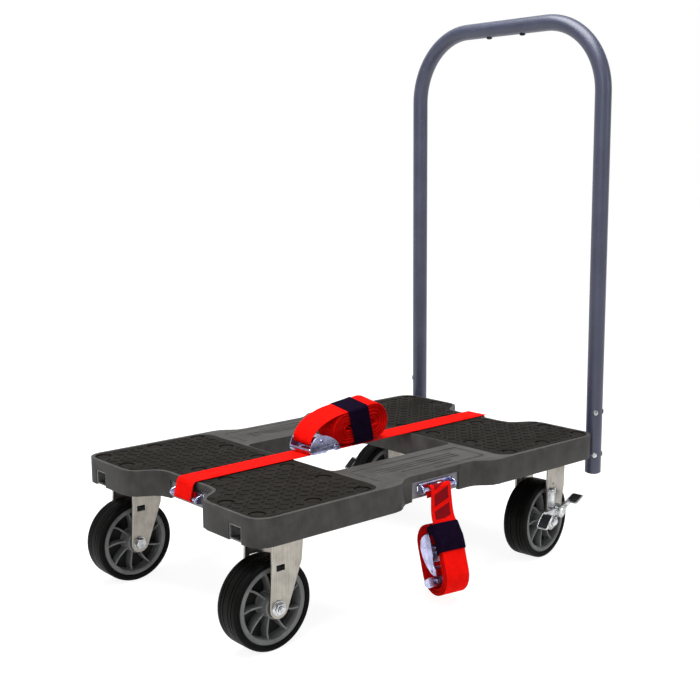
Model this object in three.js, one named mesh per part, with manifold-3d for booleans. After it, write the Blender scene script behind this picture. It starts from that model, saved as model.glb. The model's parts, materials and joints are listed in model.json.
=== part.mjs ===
// Furniture dolly: a moulded deck on two rigid and two braked swivel casters, with a bolt-on
// U-shaped push bar and two cam-buckle straps in its strap anchors.
// Millimetres. +X points to the push bar, +Y to the left side, +Z up; the floor is z = 0.
import * as THREE from 'three';
import { mergeVertices } from 'three/addons/utils/BufferGeometryUtils.js';
import Module from 'manifold-3d';

const wasm = await Module();
wasm.setup();

// ---------------------------------------------------------------- driving dimensions

const GAP = 0.3; // clearance between pieces that touch
const ROW_ORIGIN = { x: 5.2, y: -4.5 }; // centre of the whole outline, seen from the deck centre

const DECK = { halfX: 419, halfY: 271, top: 235, bottom: 188, corner: 32, wall: 7, plate: 12 };
const END_NOTCH = { depth: 52, inner: 62, outer: 135 }; // half widths of the recess in each end
const SIDE_WAIST = { depth: 25, inner: 72, outer: 130 }; // half lengths of the waist in each side
const OPENING = { halfX: 151, halfY: 130, corner: 15 };
const PAD = { inset: 6, innerX: 153, innerY: 262, innerCorner: 25, pocket: 3, thick: 3.3 };
const RIB = { half: 2, rise: 4, x: [-235, -50, 50, 235], y: [-190, -65, 65, 190] };
const ANCHOR = { half: 58, sideX: -10, bottom: 192, top: 222, recess: 2, thick: 3, depth: 16 };
const ANCHOR_SLOT = { half: 44, z: 210, halfHeight: 6.5 };
const SOCKET = { y: 211.5, width: 33, top: 216, bottom: 190, wall: 2, length: 22 };

const WHEEL = { radius: 76.2, width: 50, rim: 65, hub: 20, bore: 12.3, hubWidth: 64, sides: 32 };
const AXLE = { radius: 6, sleeve: 8, headRadius: 13, head: 8 };
const CASTER = { frontX: -365, rearX: 335, y: 212, offset: 35.6, legGap: 34, leg: 4 };
const CASTER_PLATE = { top: 201.7, thick: 4, halfX: 57.5, halfY: 47.5, shift: 30 };
const YOKE = { top: 185.7, thick: 4, radius: 36 };
const KINGPIN = { radius: 7.5, head: 12, headThick: 7 };
const CASTER_YAW = { right: 0.116, left: -0.2 }; // the swivel casters stand a little turned
const BRAKE = { x: 4, z: 98, pin: 5, hub: 12, lever: 8.8, width: 24 };
const LOCK_PEDAL = { reach: 33, length: 29, angle: 20, bend: 0 };
const RELEASE_PEDAL = { reach: 50, length: 32, angle: 173, bend: 53 };

const BAR = { x: 436, halfY: 250, bottom: 150, top: 1043, bend: 142, radius: 16, wall: 2 };
const BAR_SCREW = { upper: 275, lower: 188, radius: 3, head: 5.2 };

const STRAP = { width: 50, thick: 2, clearance: 0.6, yaw: 0.0243, y: 5 };
const FITTING = { half: 40, tongueHalf: 28, bar: 3.2, barOut: 12 };
const LOOP = 5.2; // radius of the webbing's centre line round a bar
const BUCKLE = { x: -82, plate: 2, inner: 28.5, bar: 3.2, cam: 7, pin: 3 };
const BUCKLE_PIVOT = [-9, 23.5];
const BUCKLE_BARS = [[-14, 9.5], [24, 8]];
const DECK_ROLL = { left: -23, right: 48, bottom: 241, radius: 38 };
const HANGING = { x: -13, y: -262, z: 78, radius: 37.5, straight: 54, core: 23.5 };
const HANGING_ROLL = { shift: 5, tilt: -0.32, yaw: -0.16 }; // how the roll hangs below its fitting
const HANGING_WRAP = { start: 137, low: 5 };
const WRAP = { width: 50, thick: 2.2 };

// ---------------------------------------------------------------- materials

function material(color, roughness, metalness) {
  return new THREE.MeshStandardMaterial({ color, roughness, metalness });
}

const deckPlastic = () => material(0x4b4a48, 0.6, 0);
const gripRubber = () => material(0x1f1c1a, 0.75, 0);
const tyreRubber = () => material(0x141414, 0.7, 0);
const rimPlastic = () => material(0x4a4c4d, 0.5, 0);
const zincSteel = () => material(0xb9bdd0, 0.35, 0.9);
const stainless = () => material(0xb5aea1, 0.35, 0.9);
const barPaint = () => material(0x3c4152, 0.45, 0.3);
const webbing = () => material(0xe0201f, 0.8, 0);
const hookAndLoop = () => material(0x1a1226, 0.95, 0);

// ---------------------------------------------------------------- solids

function toSolid(geometry) {
  const plain = geometry.clone();
  plain.deleteAttribute('normal');
  plain.deleteAttribute('uv');
  const merged = mergeVertices(plain, 1e-3);
  const corners = merged.index.array;
  const triVerts = [];
  for (let i = 0; i < corners.length; i += 3) {
    const [a, b, c] = corners.slice(i, i + 3);
    if (a !== b && b !== c && c !== a) triVerts.push(a, b, c);
  }
  const vertProperties = new Float32Array(merged.attributes.position.array);
  return new wasm.Manifold(
    new wasm.Mesh({ numProp: 3, vertProperties, triVerts: new Uint32Array(triVerts) }),
  );
}

function toGeometry(solid) {
  const { vertProperties, triVerts } = solid.getMesh();
  const geometry = new THREE.BufferGeometry();
  geometry.setAttribute('position', new THREE.BufferAttribute(vertProperties, 3));
  geometry.setIndex(new THREE.BufferAttribute(triVerts, 1));
  geometry.computeVertexNormals();
  return geometry;
}

function join(first, ...others) {
  return toGeometry(others.reduce((solid, other) => solid.add(toSolid(other)), toSolid(first)));
}

function cut(first, ...tools) {
  return toGeometry(tools.reduce((solid, tool) => solid.subtract(toSolid(tool)), toSolid(first)));
}

// A box from three [low, high] pairs.
function block(x, y, z) {
  const box = new THREE.BoxGeometry(x[1] - x[0], y[1] - y[0], z[1] - z[0]);
  return box.translate((x[0] + x[1]) / 2, (y[0] + y[1]) / 2, (z[0] + z[1]) / 2);
}

const X_AXIS = new THREE.Vector3(1, 0, 0);
const Y_AXIS = new THREE.Vector3(0, 1, 0);
const Z_AXIS = new THREE.Vector3(0, 0, 1);

// A flat outline with thickness: drawn in X-Y, X-Z or Y-Z and reaching along Z, Y or X.
function prism(axis, outline, low, high, curveSegments = 6) {
  const options = { depth: high - low, bevelEnabled: false, curveSegments };
  const solid = new THREE.ExtrudeGeometry(outline, options);
  if (axis === 'z') return solid.translate(0, 0, low);
  if (axis === 'x') {
    const turn = new THREE.Matrix4().makeBasis(Y_AXIS, Z_AXIS, X_AXIS);
    return solid.applyMatrix4(turn).translate(low, 0, 0);
  }
  const turn = new THREE.Matrix4().makeBasis(X_AXIS, Z_AXIS, Y_AXIS.clone().negate());
  return solid.applyMatrix4(turn).translate(0, high, 0);
}

// A round bar along an axis; centre gives its place in the plane across that axis.
function rod(axis, radius, low, high, centre = [0, 0], sides = 12) {
  const solid = new THREE.CylinderGeometry(radius, radius, high - low, sides);
  solid.translate(0, (low + high) / 2, 0);
  if (axis === 'y') return solid.translate(centre[0], 0, centre[1]);
  if (axis === 'z') return solid.rotateX(Math.PI / 2).translate(centre[0], centre[1], 0);
  return solid.rotateZ(-Math.PI / 2).translate(0, centre[0], centre[1]);
}

// A turned piece round the Y axis from [radius, place along Y] pairs; a ring closes on itself.
function turned(profile, sides, ring = false) {
  const points = profile.map(([radius, along]) => new THREE.Vector2(radius, along));
  if (ring) points.push(points[0].clone());
  return new THREE.LatheGeometry(points, sides);
}

function outlineOf(points) {
  return new THREE.Shape(points.map(([x, y]) => new THREE.Vector2(x, y)));
}

// A slot shape with round ends: straight sides along the second coordinate.
function stadium(radius, straight) {
  const shape = new THREE.Shape();
  shape.absarc(0, straight / 2, radius, 0, Math.PI);
  shape.absarc(0, -straight / 2, radius, Math.PI, 2 * Math.PI);
  return shape;
}

// A strip of even thickness along a line of [x, y] points.
function strip(line, thick) {
  const points = line.map(([x, y]) => new THREE.Vector2(x, y));
  const sides = [[], []];
  points.forEach((point, i) => {
    const before = points[Math.max(i - 1, 0)];
    const after = points[Math.min(i + 1, points.length - 1)];
    const along = after.clone().sub(before).normalize();
    const across = new THREE.Vector2(-along.y, along.x).multiplyScalar(thick / 2);
    sides[0].push(point.clone().add(across));
    sides[1].unshift(point.clone().sub(across));
  });
  return new THREE.Shape([...sides[0], ...sides[1]]);
}

// Points on an arc, angles in degrees, either way round.
function arc(centre, radius, from, to, steps = 4) {
  return Array.from({ length: steps + 1 }, (_, i) => {
    const angle = THREE.MathUtils.degToRad(from + ((to - from) * i) / steps);
    return [centre[0] + radius * Math.cos(angle), centre[1] + radius * Math.sin(angle)];
  });
}

function bezier(a, b, c, d, steps) {
  const [p, q, r, s] = [a, b, c, d].map(([x, y]) => new THREE.Vector2(x, y));
  return new THREE.CubicBezierCurve(p, q, r, s).getPoints(steps).map(({ x, y }) => [x, y]);
}

const dolly = new THREE.Group();
const deckFrame = new THREE.Group();
deckFrame.position.set(-ROW_ORIGIN.x, -ROW_ORIGIN.y, 0);
dolly.add(deckFrame);

function part(name, geometry, look, parent = deckFrame) {
  const mesh = new THREE.Mesh(geometry, look);
  mesh.name = name;
  parent.add(mesh);
  return mesh;
}

function group(parent, x, y, z) {
  const child = new THREE.Group();
  child.position.set(x, y, z);
  parent.add(child);
  return child;
}

// ---------------------------------------------------------------- deck

// A soft step from one straight edge to another, leaving and arriving along the second coordinate.
function easedStep([x0, y0], [x1, y1], pull, steps) {
  const reach = pull * (y1 - y0);
  return bezier([x0, y0], [x0, y0 + reach], [x1, y1 - reach], [x1, y1], steps);
}

// One quarter of the deck's edge, from the middle of the rear recess to the middle of the left waist.
function deckQuarter(inset) {
  const x = DECK.halfX - inset;
  const y = DECK.halfY - inset;
  const notchX = x - END_NOTCH.depth;
  const waistY = y - SIDE_WAIST.depth;
  const [notchInner, notchOuter] = [END_NOTCH.inner + inset / 2, END_NOTCH.outer + inset / 2];
  const [waistInner, waistOuter] = [SIDE_WAIST.inner + inset / 2, SIDE_WAIST.outer + inset / 2];
  const radius = DECK.corner - inset * 0.6;
  const waist = easedStep([y, waistOuter], [waistY, waistInner], 0.5, 5);
  return [
    ...easedStep([notchX, notchInner], [x, notchOuter], 0.62, 6),
    ...arc([x - radius, y - radius], radius, 0, 90, 5),
    ...waist.map(([across, along]) => [along, across]),
  ];
}

function mirrored(quarter) {
  const half = [...quarter, ...quarter.map(([x, y]) => [-x, y]).reverse()];
  return [...half, ...half.map(([x, y]) => [x, -y]).reverse()];
}

function deckOutline(inset) {
  return outlineOf(mirrored(deckQuarter(inset)));
}

function openingOutline(grow) {
  const x = OPENING.halfX + grow;
  const y = OPENING.halfY + grow;
  const radius = OPENING.corner + grow / 2;
  return outlineOf(mirrored(arc([x - radius, y - radius], radius, 0, 90, 3)));
}

// The outline of the rear grip pad, or of its pocket; end is 1 at the rear and -1 at the front.
function padOutline(inset, end) {
  const outer = deckQuarter(inset).filter(([x]) => x > SIDE_WAIST.outer + 40);
  const innerX = PAD.innerX + inset - PAD.inset;
  const innerY = PAD.innerY + PAD.inset - inset;
  const radius = PAD.innerCorner;
  const corner = arc([innerX + radius, innerY - radius], radius, 90, 180, 4);
  const half = [...outer, ...corner];
  const whole = [...half, ...half.map(([x, y]) => [x, -y]).reverse()];
  return outlineOf(end > 0 ? whole : whole.map(([x, y]) => [-x, y]).reverse());
}

const around = (centre, half) => [centre - half, centre + half];
const inOrder = (a, b) => [Math.min(a, b), Math.max(a, b)];

// Everything that stands in the deck's hollow underside: walls, ribs and caster bosses.
function deckInside(ceiling) {
  const low = DECK.bottom - 1;
  const ribSpan = [DECK.bottom + RIB.rise, ceiling + 1];
  const solids = [
    prism('z', openingOutline(DECK.wall - 1), low, ceiling + 1),
    ...RIB.x.map((x) => block(around(x, RIB.half), around(0, DECK.halfY), ribSpan)),
    ...RIB.y.map((y) => block(around(0, DECK.halfX), around(y, RIB.half), ribSpan)),
  ];
  const room = [];
  const bosses = [];
  for (const side of [-1, 1]) {
    for (const x of [CASTER.frontX + CASTER_PLATE.shift, CASTER.rearX]) {
      const spanX = around(x, CASTER_PLATE.halfX + 4);
      const spanY = around(side * CASTER.y, CASTER_PLATE.halfY + 8);
      room.push(block(spanX, spanY, [low - 1, CASTER_PLATE.top + GAP]));
      bosses.push(block(spanX, spanY, [CASTER_PLATE.top + GAP, ceiling + 1]));
    }
  }
  return join(cut(join(...solids), ...room), ...bosses);
}

// Openings in the deck's skirt for the strap anchors and the corner sockets.
function skirtWindows() {
  const low = DECK.bottom - 2;
  const notchX = DECK.halfX - END_NOTCH.depth;
  const waistY = DECK.halfY - SIDE_WAIST.depth;
  const windows = [];
  for (const sign of [-1, 1]) {
    const notchSpan = inOrder(sign * (notchX - ANCHOR.depth), sign * (notchX + 3));
    const waistSpan = inOrder(sign * (waistY - ANCHOR.depth), sign * (waistY + 3));
    windows.push(block(notchSpan, around(0, ANCHOR.half), [low, ANCHOR.top]));
    windows.push(block(around(ANCHOR.sideX, ANCHOR.half), waistSpan, [low, ANCHOR.top]));
    const socketSpan = inOrder(sign * (DECK.halfX - SOCKET.length - 1), sign * (DECK.halfX + 2));
    for (const y of [-SOCKET.y, SOCKET.y]) {
      windows.push(block(socketSpan, around(y, SOCKET.width / 2), [low, SOCKET.top]));
    }
  }
  return windows;
}

function deckShell() {
  const ceiling = DECK.top - DECK.plate;
  const body = prism('z', deckOutline(0), DECK.bottom, DECK.top);
  const cavity = prism('z', deckOutline(DECK.wall), DECK.bottom - 1, ceiling);
  const pocketInset = PAD.inset - GAP;
  const pockets = [1, -1].map((end) =>
    prism('z', padOutline(pocketInset, end), DECK.top - PAD.pocket, DECK.top + 1),
  );
  const opening = prism('z', openingOutline(0), DECK.bottom - 2, DECK.top + 2);
  return cut(body, cut(cavity, deckInside(ceiling)), ...pockets, opening, ...skirtWindows());
}

function gripPad(end) {
  const low = DECK.top - PAD.pocket + GAP;
  return prism('z', padOutline(PAD.inset, end), low, low + PAD.thick);
}

// A slotted steel strip across X, with its outer face at x = 0 and facing +X.
function anchorPlate() {
  const spanY = around(0, ANCHOR.half - GAP);
  const plate = block([-ANCHOR.thick, 0], spanY, [ANCHOR.bottom, ANCHOR.top - GAP]);
  const slotSpan = around(ANCHOR_SLOT.z, ANCHOR_SLOT.halfHeight);
  return cut(plate, block(around(0, 9), around(0, ANCHOR_SLOT.half), slotSpan));
}

function socketSleeve() {
  const half = SOCKET.width / 2 - GAP;
  const outer = block([-SOCKET.length, 0], [-half, half], [SOCKET.bottom, SOCKET.top - GAP]);
  const inside = half - SOCKET.wall;
  const hole = [SOCKET.bottom + SOCKET.wall, SOCKET.top - GAP - SOCKET.wall];
  return cut(outer, block([-SOCKET.length - 1, 1], [-inside, inside], hole));
}

const ENDS = [['front', -1], ['rear', 1]];
const SIDES = [['right', -1], ['left', 1]];

part('deck_shell', deckShell(), deckPlastic());
for (const [endName, end] of ENDS) {
  part(`grip_pad_${endName}`, gripPad(end), gripRubber());
  const plateX = end * (DECK.halfX - END_NOTCH.depth - ANCHOR.recess);
  const plate = part(`anchor_plate_${endName}`, anchorPlate(), stainless());
  plate.position.x = plateX;
  plate.rotation.z = end > 0 ? 0 : Math.PI;
  for (const [sideName, side] of SIDES) {
    const sleeve = part(`socket_sleeve_${endName}_${sideName}`, socketSleeve(), stainless());
    sleeve.position.set(end * (DECK.halfX - 1), side * SOCKET.y, 0);
    sleeve.rotation.z = end > 0 ? 0 : Math.PI;
  }
}
for (const [sideName, side] of SIDES) {
  const plate = part(`anchor_plate_${sideName}`, anchorPlate(), stainless());
  plate.position.x = ANCHOR.sideX;
  plate.position.y = side * (DECK.halfY - SIDE_WAIST.depth - ANCHOR.recess);
  plate.rotation.z = (side * Math.PI) / 2;
}

// ---------------------------------------------------------------- wheels

// The tyre stands on one of its flats, so its corners lie a little outside the wheel radius.
function tyre() {
  const half = WHEEL.width / 2;
  const stretch = 1 / Math.cos(Math.PI / WHEEL.sides);
  const outer = WHEEL.radius * stretch;
  const inner = WHEEL.rim * stretch + GAP;
  const profile = [
    [inner, -half + 1],
    [outer - 7, -half],
    [outer - 1.5, -half + 4],
    [outer, -half + 9],
    [outer, half - 9],
    [outer - 1.5, half - 4],
    [outer - 7, half],
    [inner, half - 1],
  ];
  return turned(profile, WHEEL.sides, true).rotateY(Math.PI / WHEEL.sides);
}

// Rim band, centre web and hub turned in one piece, with curved ribs on both sides of the web.
function rim() {
  const half = WHEEL.width / 2 - 1;
  const band = WHEEL.rim - 8;
  const web = 3;
  const hubHalf = WHEEL.hubWidth / 2;
  const body = turned(
    [
      [WHEEL.bore, -hubHalf],
      [WHEEL.hub, -hubHalf],
      [WHEEL.hub, -web],
      [band, -web],
      [band, -half],
      [WHEEL.rim, -half],
      [WHEEL.rim, half],
      [band, half],
      [band, web],
      [WHEEL.hub, web],
      [WHEEL.hub, hubHalf],
      [WHEEL.bore, hubHalf],
    ],
    24,
    true,
  );
  const reach = WHEEL.rim - 5;
  const curve = strip(bezier([WHEEL.hub - 2, 0], [30, 0], [46, 3], [reach, 9], 2), 3);
  const ribs = [];
  const count = 9;
  for (let i = 0; i < count; i += 1) {
    const rib = prism('y', curve, -half + 4, half - 4);
    ribs.push(rib.rotateY((2 * Math.PI * i) / count));
  }
  return join(body, ...ribs);
}

function bearingSleeve() {
  const half = CASTER.legGap - GAP;
  const outer = WHEEL.bore - GAP;
  const inner = AXLE.sleeve;
  return turned([[inner, -half], [outer, -half], [outer, half], [inner, half]], 16, true);
}

// Bolt head outside, shank through both legs and the sleeve, and the nut on the far side.
function axleBolt(outboard) {
  const face = CASTER.legGap + CASTER.leg + GAP;
  const shank = rod('y', AXLE.radius, -face - 11, face + 1);
  const head = rod('y', AXLE.headRadius, face, face + AXLE.head, [0, 0], 12);
  const nut = rod('y', 10.5, -face - 9, -face, [0, 0], 6);
  const bolt = join(shank, head, nut);
  return outboard > 0 ? bolt : bolt.rotateZ(Math.PI);
}

function wheel(parent, label, outboard) {
  part(`tyre_${label}`, tyre(), tyreRubber(), parent);
  part(`rim_${label}`, rim(), rimPlastic(), parent);
  part(`bearing_${label}`, bearingSleeve(), zincSteel(), parent);
  part(`axle_bolt_${label}`, axleBolt(outboard), zincSteel(), parent);
}

// ---------------------------------------------------------------- casters

// Cuts an axle hole through both legs at x = 0, at the wheel's centre.
const axleHole = () => rod('y', AXLE.radius + GAP, -60, 60, [0, WHEEL.radius]);

function legs(outline) {
  const inner = CASTER.legGap;
  const outer = CASTER.legGap + CASTER.leg;
  return [prism('y', outline, inner, outer, 3), prism('y', outline, -outer, -inner, 3)];
}

// Rigid fork with its top plate; x = 0 is the axle and the plate lies behind it.
function frontFork() {
  const plateLow = CASTER_PLATE.top - CASTER_PLATE.thick;
  const outline = outlineOf([
    [53, plateLow + 1],
    [-9, plateLow + 1],
    ...arc([1.5, WHEEL.radius], 18, 176, 338, 7),
    [48, 146],
  ]);
  const spanX = [CASTER_PLATE.shift - CASTER_PLATE.halfX, CASTER_PLATE.shift + CASTER_PLATE.halfX];
  const spanY = [-CASTER_PLATE.halfY, CASTER_PLATE.halfY];
  const plate = block(spanX, spanY, [plateLow, CASTER_PLATE.top]);
  const window = block([-3, 14], [-60, 60], [137, 147]);
  return cut(join(plate, ...legs(outline)), window, axleHole());
}

// Swivelling fork; x = 0 is the axle and the kingpin stands CASTER.offset behind it.
function rearFork() {
  const low = YOKE.top - YOKE.thick;
  const outline = outlineOf([
    [43, low + 1],
    [-16, low + 1],
    ...arc([0, WHEEL.radius], 18, 170, 335, 7),
    [33, 104],
    [42, 141],
  ]);
  const outer = CASTER.legGap + CASTER.leg;
  const bridge = block([-16, 43], [-outer, outer], [low, YOKE.top]);
  const disc = rod('z', YOKE.radius, low, YOKE.top, [CASTER.offset, 0], 20);
  const pinHole = rod('z', KINGPIN.radius + GAP, low - 9, YOKE.top + 9, [CASTER.offset, 0]);
  const smallHole = rod('y', 2.5, -60, 60, [3, 151], 8);
  return cut(join(bridge, disc, ...legs(outline)), axleHole(), pinHole, smallHole);
}

// Top plate with the pressed ball race under it, centred on the kingpin.
function swivelPlate() {
  const low = CASTER_PLATE.top - CASTER_PLATE.thick;
  const spanX = [-CASTER_PLATE.halfX, CASTER_PLATE.halfX];
  const spanY = [-CASTER_PLATE.halfY, CASTER_PLATE.halfY];
  const plate = block(spanX, spanY, [low, CASTER_PLATE.top]);
  const race = rod('z', YOKE.radius + 1, YOKE.top + GAP, low + 1, [0, 0], 24);
  const pinHole = rod('z', KINGPIN.radius + GAP, YOKE.top - 9, CASTER_PLATE.top + 9);
  return cut(join(plate, race), pinHole);
}

function kingpin() {
  const headTop = YOKE.top - YOKE.thick - GAP;
  const shank = rod('z', KINGPIN.radius, headTop - 1, CASTER_PLATE.top - 1);
  return join(shank, rod('z', KINGPIN.head, headTop - KINGPIN.headThick, headTop));
}

// Spring housing on the outer face of a rear leg, with the pivot pin of the pedals.
function brakeHousing() {
  const face = CASTER.legGap + CASTER.leg + GAP;
  const barrel = rod('z', 11, 102, 143, [-4, face - 3], 12);
  const foot = block([-12, 16], [face, face + BRAKE.lever - 0.8], [90, 110]);
  const pin = rod('y', BRAKE.pin, face + 1, face + BRAKE.lever + 15, [BRAKE.x, BRAKE.z]);
  const inboard = block([-30, 80], [face - 40, face], [60, 180]);
  return cut(join(barrel, foot, pin), inboard);
}

// An arm from the rocker's pivot, with a pedal at its end that may bend down from it.
function pedalArm(inner, { reach, length, angle, bend }) {
  const turn = (shape, degrees) => shape.rotateY(-THREE.MathUtils.degToRad(degrees));
  const arm = block([0, reach + 4], [inner + 2, inner + 10], around(0, 3.6));
  const plate = block([0, length], [inner, inner + BRAKE.width], around(0, 1.6));
  turn(plate, bend).translate(reach, 0, 0);
  return [arm, plate].map((shape) => turn(shape, angle).translate(BRAKE.x, 0, BRAKE.z));
}

// Rocker with a high locking pedal behind its pivot and a releasing pedal bent down ahead of it.
function brakePedals() {
  const inner = CASTER.legGap + CASTER.leg + GAP + BRAKE.lever;
  const outer = inner + 12;
  const at = [BRAKE.x, BRAKE.z];
  const hub = rod('y', BRAKE.hub, inner, outer, at, 14);
  const rocker = join(hub, ...pedalArm(inner, LOCK_PEDAL), ...pedalArm(inner, RELEASE_PEDAL));
  return cut(rocker, rod('y', BRAKE.pin + GAP, inner - 9, outer + 9, at));
}

for (const [sideName, side] of SIDES) {
  const front = group(deckFrame, CASTER.frontX, side * CASTER.y, 0);
  const frontLabel = `front_${sideName}`;
  part(`fork_${frontLabel}`, frontFork(), stainless(), front);
  wheel(group(front, 0, 0, WHEEL.radius), frontLabel, side);

  const mount = group(deckFrame, CASTER.rearX, side * CASTER.y, 0);
  const rearLabel = `rear_${sideName}`;
  part(`swivel_plate_${rearLabel}`, swivelPlate(), stainless(), mount);
  part(`kingpin_${rearLabel}`, kingpin(), zincSteel(), mount);
  const swivel = group(mount, 0, 0, 0);
  swivel.rotation.z = CASTER_YAW[sideName];
  const rear = group(swivel, -CASTER.offset, 0, 0);
  part(`fork_${rearLabel}`, rearFork(), stainless(), rear);
  wheel(group(rear, 0, 0, WHEEL.radius), rearLabel, side);
  const mirror = new THREE.Matrix4().makeScale(1, side, 1);
  for (const [name, shape] of [['brake_housing', brakeHousing()], ['brake_pedals', brakePedals()]]) {
    const sided = toGeometry(toSolid(shape).transform(mirror.elements));
    part(`${name}_${rearLabel}`, sided, zincSteel(), rear);
  }
}

// ---------------------------------------------------------------- push bar

// Each post has a screw through its wall beside the deck and another above it.
const BAR_SCREWS = SIDES.flatMap(([sideName, side]) => [
  { name: `bar_screw_${sideName}_upper`, side, z: BAR_SCREW.upper },
  { name: `bar_screw_${sideName}_lower`, side, z: BAR_SCREW.lower },
]);

// A path through fixed stations, so that the straights take one step and the bends several.
class StationPath extends THREE.Curve {
  constructor(stations) {
    super();
    this.stations = stations;
  }

  getPoint(t, target = new THREE.Vector3()) {
    const place = THREE.MathUtils.clamp(t, 0, 1) * (this.stations.length - 1);
    const i = Math.min(Math.floor(place), this.stations.length - 2);
    return target.lerpVectors(this.stations[i], this.stations[i + 1], place - i);
  }

  getUtoTmapping(u) {
    return u;
  }
}

function pushBarTube() {
  const bendY = BAR.halfY - BAR.bend;
  const bendZ = BAR.top - BAR.bend;
  const line = [
    [-BAR.halfY, BAR.bottom],
    ...arc([-bendY, bendZ], BAR.bend, 180, 90, 8),
    ...arc([bendY, bendZ], BAR.bend, 90, 0, 8),
    [BAR.halfY, BAR.bottom],
  ];
  const stations = line.map(([y, z]) => new THREE.Vector3(BAR.x, y, z));
  const section = new THREE.Shape().absarc(0, 0, BAR.radius, 0, 2 * Math.PI);
  section.holes.push(new THREE.Path().absarc(0, 0, BAR.radius - BAR.wall, 0, 2 * Math.PI, true));
  const tube = new THREE.ExtrudeGeometry(section, {
    steps: stations.length - 1,
    curveSegments: 7,
    extrudePath: new StationPath(stations),
  });
  return cut(tube, ...BAR_SCREWS.map((screw) => screwShank(screw, BAR_SCREW.radius + GAP)));
}

// Puts a piece drawn along +X from a post's axis in a screw's place, facing forward and outward.
function onPost(shape, { side, z }) {
  return shape.rotateZ(side * THREE.MathUtils.degToRad(135)).translate(BAR.x, side * BAR.halfY, z);
}

function screwShank(screw, radius) {
  return onPost(rod('x', radius, BAR.radius - 6, BAR.radius + 2, [0, 0], 10), screw);
}

function postScrew(screw) {
  const low = BAR.radius + GAP;
  const head = onPost(rod('x', BAR_SCREW.head, low, low + 2.5, [0, 0], 10), screw);
  return join(screwShank(screw, BAR_SCREW.radius), head);
}

// Arm from the post, and the tongue that slides into the deck's corner socket.
function socketBracket(side) {
  const low = SOCKET.bottom + SOCKET.wall + 1.5;
  const high = SOCKET.top - SOCKET.wall - 1.5;
  const inner = SOCKET.y - SOCKET.width / 2 + SOCKET.wall + 1.5;
  const outer = SOCKET.y + SOCKET.width / 2 - SOCKET.wall - 1.5;
  const tongue = block([DECK.halfX - SOCKET.length, DECK.halfX + 12], [inner, outer], [low, high]);
  const arm = block([DECK.halfX + 8, DECK.halfX + 26], [inner, BAR.halfY - BAR.radius - 0.5], [low, high]);
  const bracket = join(tongue, arm);
  return side > 0 ? bracket : toGeometry(toSolid(bracket).mirror([0, 1, 0]));
}

part('push_bar_tube', pushBarTube(), barPaint());
for (const screw of BAR_SCREWS) {
  part(screw.name, postScrew(screw), zincSteel());
}
for (const [sideName, side] of SIDES) {
  part(`socket_bracket_${sideName}`, socketBracket(side), barPaint());
}

// ---------------------------------------------------------------- strap hardware

// Hooked end fitting, facing +X from the anchor plate's outer face, centred on its slot.
function endFitting() {
  const { half, tongueHalf, bar, barOut } = FITTING;
  const body = block([GAP, 3.3], [-half, half], [-9, 8]);
  const tongue = block([-8, 1], [-tongueHalf, tongueHalf], [-4, 4]);
  const ears = [-1, 1].map((side) => {
    return block([2, barOut + 5], inOrder(side * half, side * (half - 3)), [-9, 5]);
  });
  return join(body, tongue, ...ears, rod('y', bar, 1 - half, half - 1, [barOut, -2], 8));
}

const BAR_Z = ANCHOR_SLOT.z - 2; // height of every fitting's webbing bar when it hangs in a slot

// Cam buckle frame: side plates, thumb lip and two cross bars. Local X along the strap, Z up.
function buckleFrame() {
  const { plate, inner, bar, pin } = BUCKLE;
  const domedTop = [
    [-37, 8], [-35, 21], [-27, 30], [-13, 35.5], [2, 33.5], [20, 25.5], [32, 15.5], [37, 6],
  ];
  const notchedFoot = [[36, 0.5], [24, 0.5], [20, 4], [6, 4], [2, 0.5], [-30, 0.5]];
  const side = outlineOf([...domedTop, ...notchedFoot]);
  const outer = inner + plate;
  const plates = [prism('y', side, inner, outer), prism('y', side, -outer, -inner)];
  const lip = block([-37, -33], [-outer, outer], [7.5, 11.5]);
  const bars = BUCKLE_BARS.map((centre) => rod('y', bar, -outer, outer, centre, 8));
  const pinHole = rod('y', pin + GAP, -outer - 9, outer + 9, BUCKLE_PIVOT, 8);
  return cut(join(...plates, lip, ...bars), pinHole);
}

// Cam across the buckle on its pin, with the thumb plate that opens it.
function camLever() {
  const width = BUCKLE.inner - 1;
  const outer = BUCKLE.inner + BUCKLE.plate;
  const [x, z] = BUCKLE_PIVOT;
  const cam = rod('y', BUCKLE.cam, -width, width, BUCKLE_PIVOT, 12);
  const pin = rod('y', BUCKLE.pin, -outer, outer, BUCKLE_PIVOT, 8);
  const thumb = block([0, 23], [-width, width], [3, 5.5]).rotateY(-0.1).translate(x, 0, z);
  return join(cam, pin, thumb);
}

// ---------------------------------------------------------------- deck strap

const STRAP_Z = DECK.top - PAD.pocket + GAP + PAD.thick + STRAP.clearance + STRAP.thick / 2;
const FITTING_X = DECK.halfX - END_NOTCH.depth - ANCHOR.recess + FITTING.barOut;

// Webbing from its loop round an end fitting's bar, up over the deck's edge; end is -1 at the front.
function strapEnd(end) {
  const edge = DECK.halfX - END_NOTCH.depth; // the strap turns over the deck's edge here
  const route = [
    [FITTING_X - LOOP, BAR_Z + 11],
    ...arc([FITTING_X, BAR_Z], LOOP, 180, 360, 6),
    [edge + 9.5, 226],
    [edge + 8, 233],
    [edge + 3, STRAP_Z - 0.6],
    [edge - 5, STRAP_Z],
  ];
  return route.map(([x, z]) => [end * x, z]);
}

// A run of points given in the deck buckle's own frame.
const buckleZ = STRAP_Z - 0.7;
const fromBuckle = (points) => points.map(([x, z]) => [BUCKLE.x + x, buckleZ + z]);

function woundTail() {
  const { left, right, bottom, radius } = DECK_ROLL;
  const centreZ = bottom + radius;
  const outline = outlineOf([
    ...arc([right, centreZ], radius, -90, 90, 10),
    ...arc([left, centreZ], radius, 90, 270, 10),
  ]);
  return prism('y', outline, -STRAP.width / 2, STRAP.width / 2);
}

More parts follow.
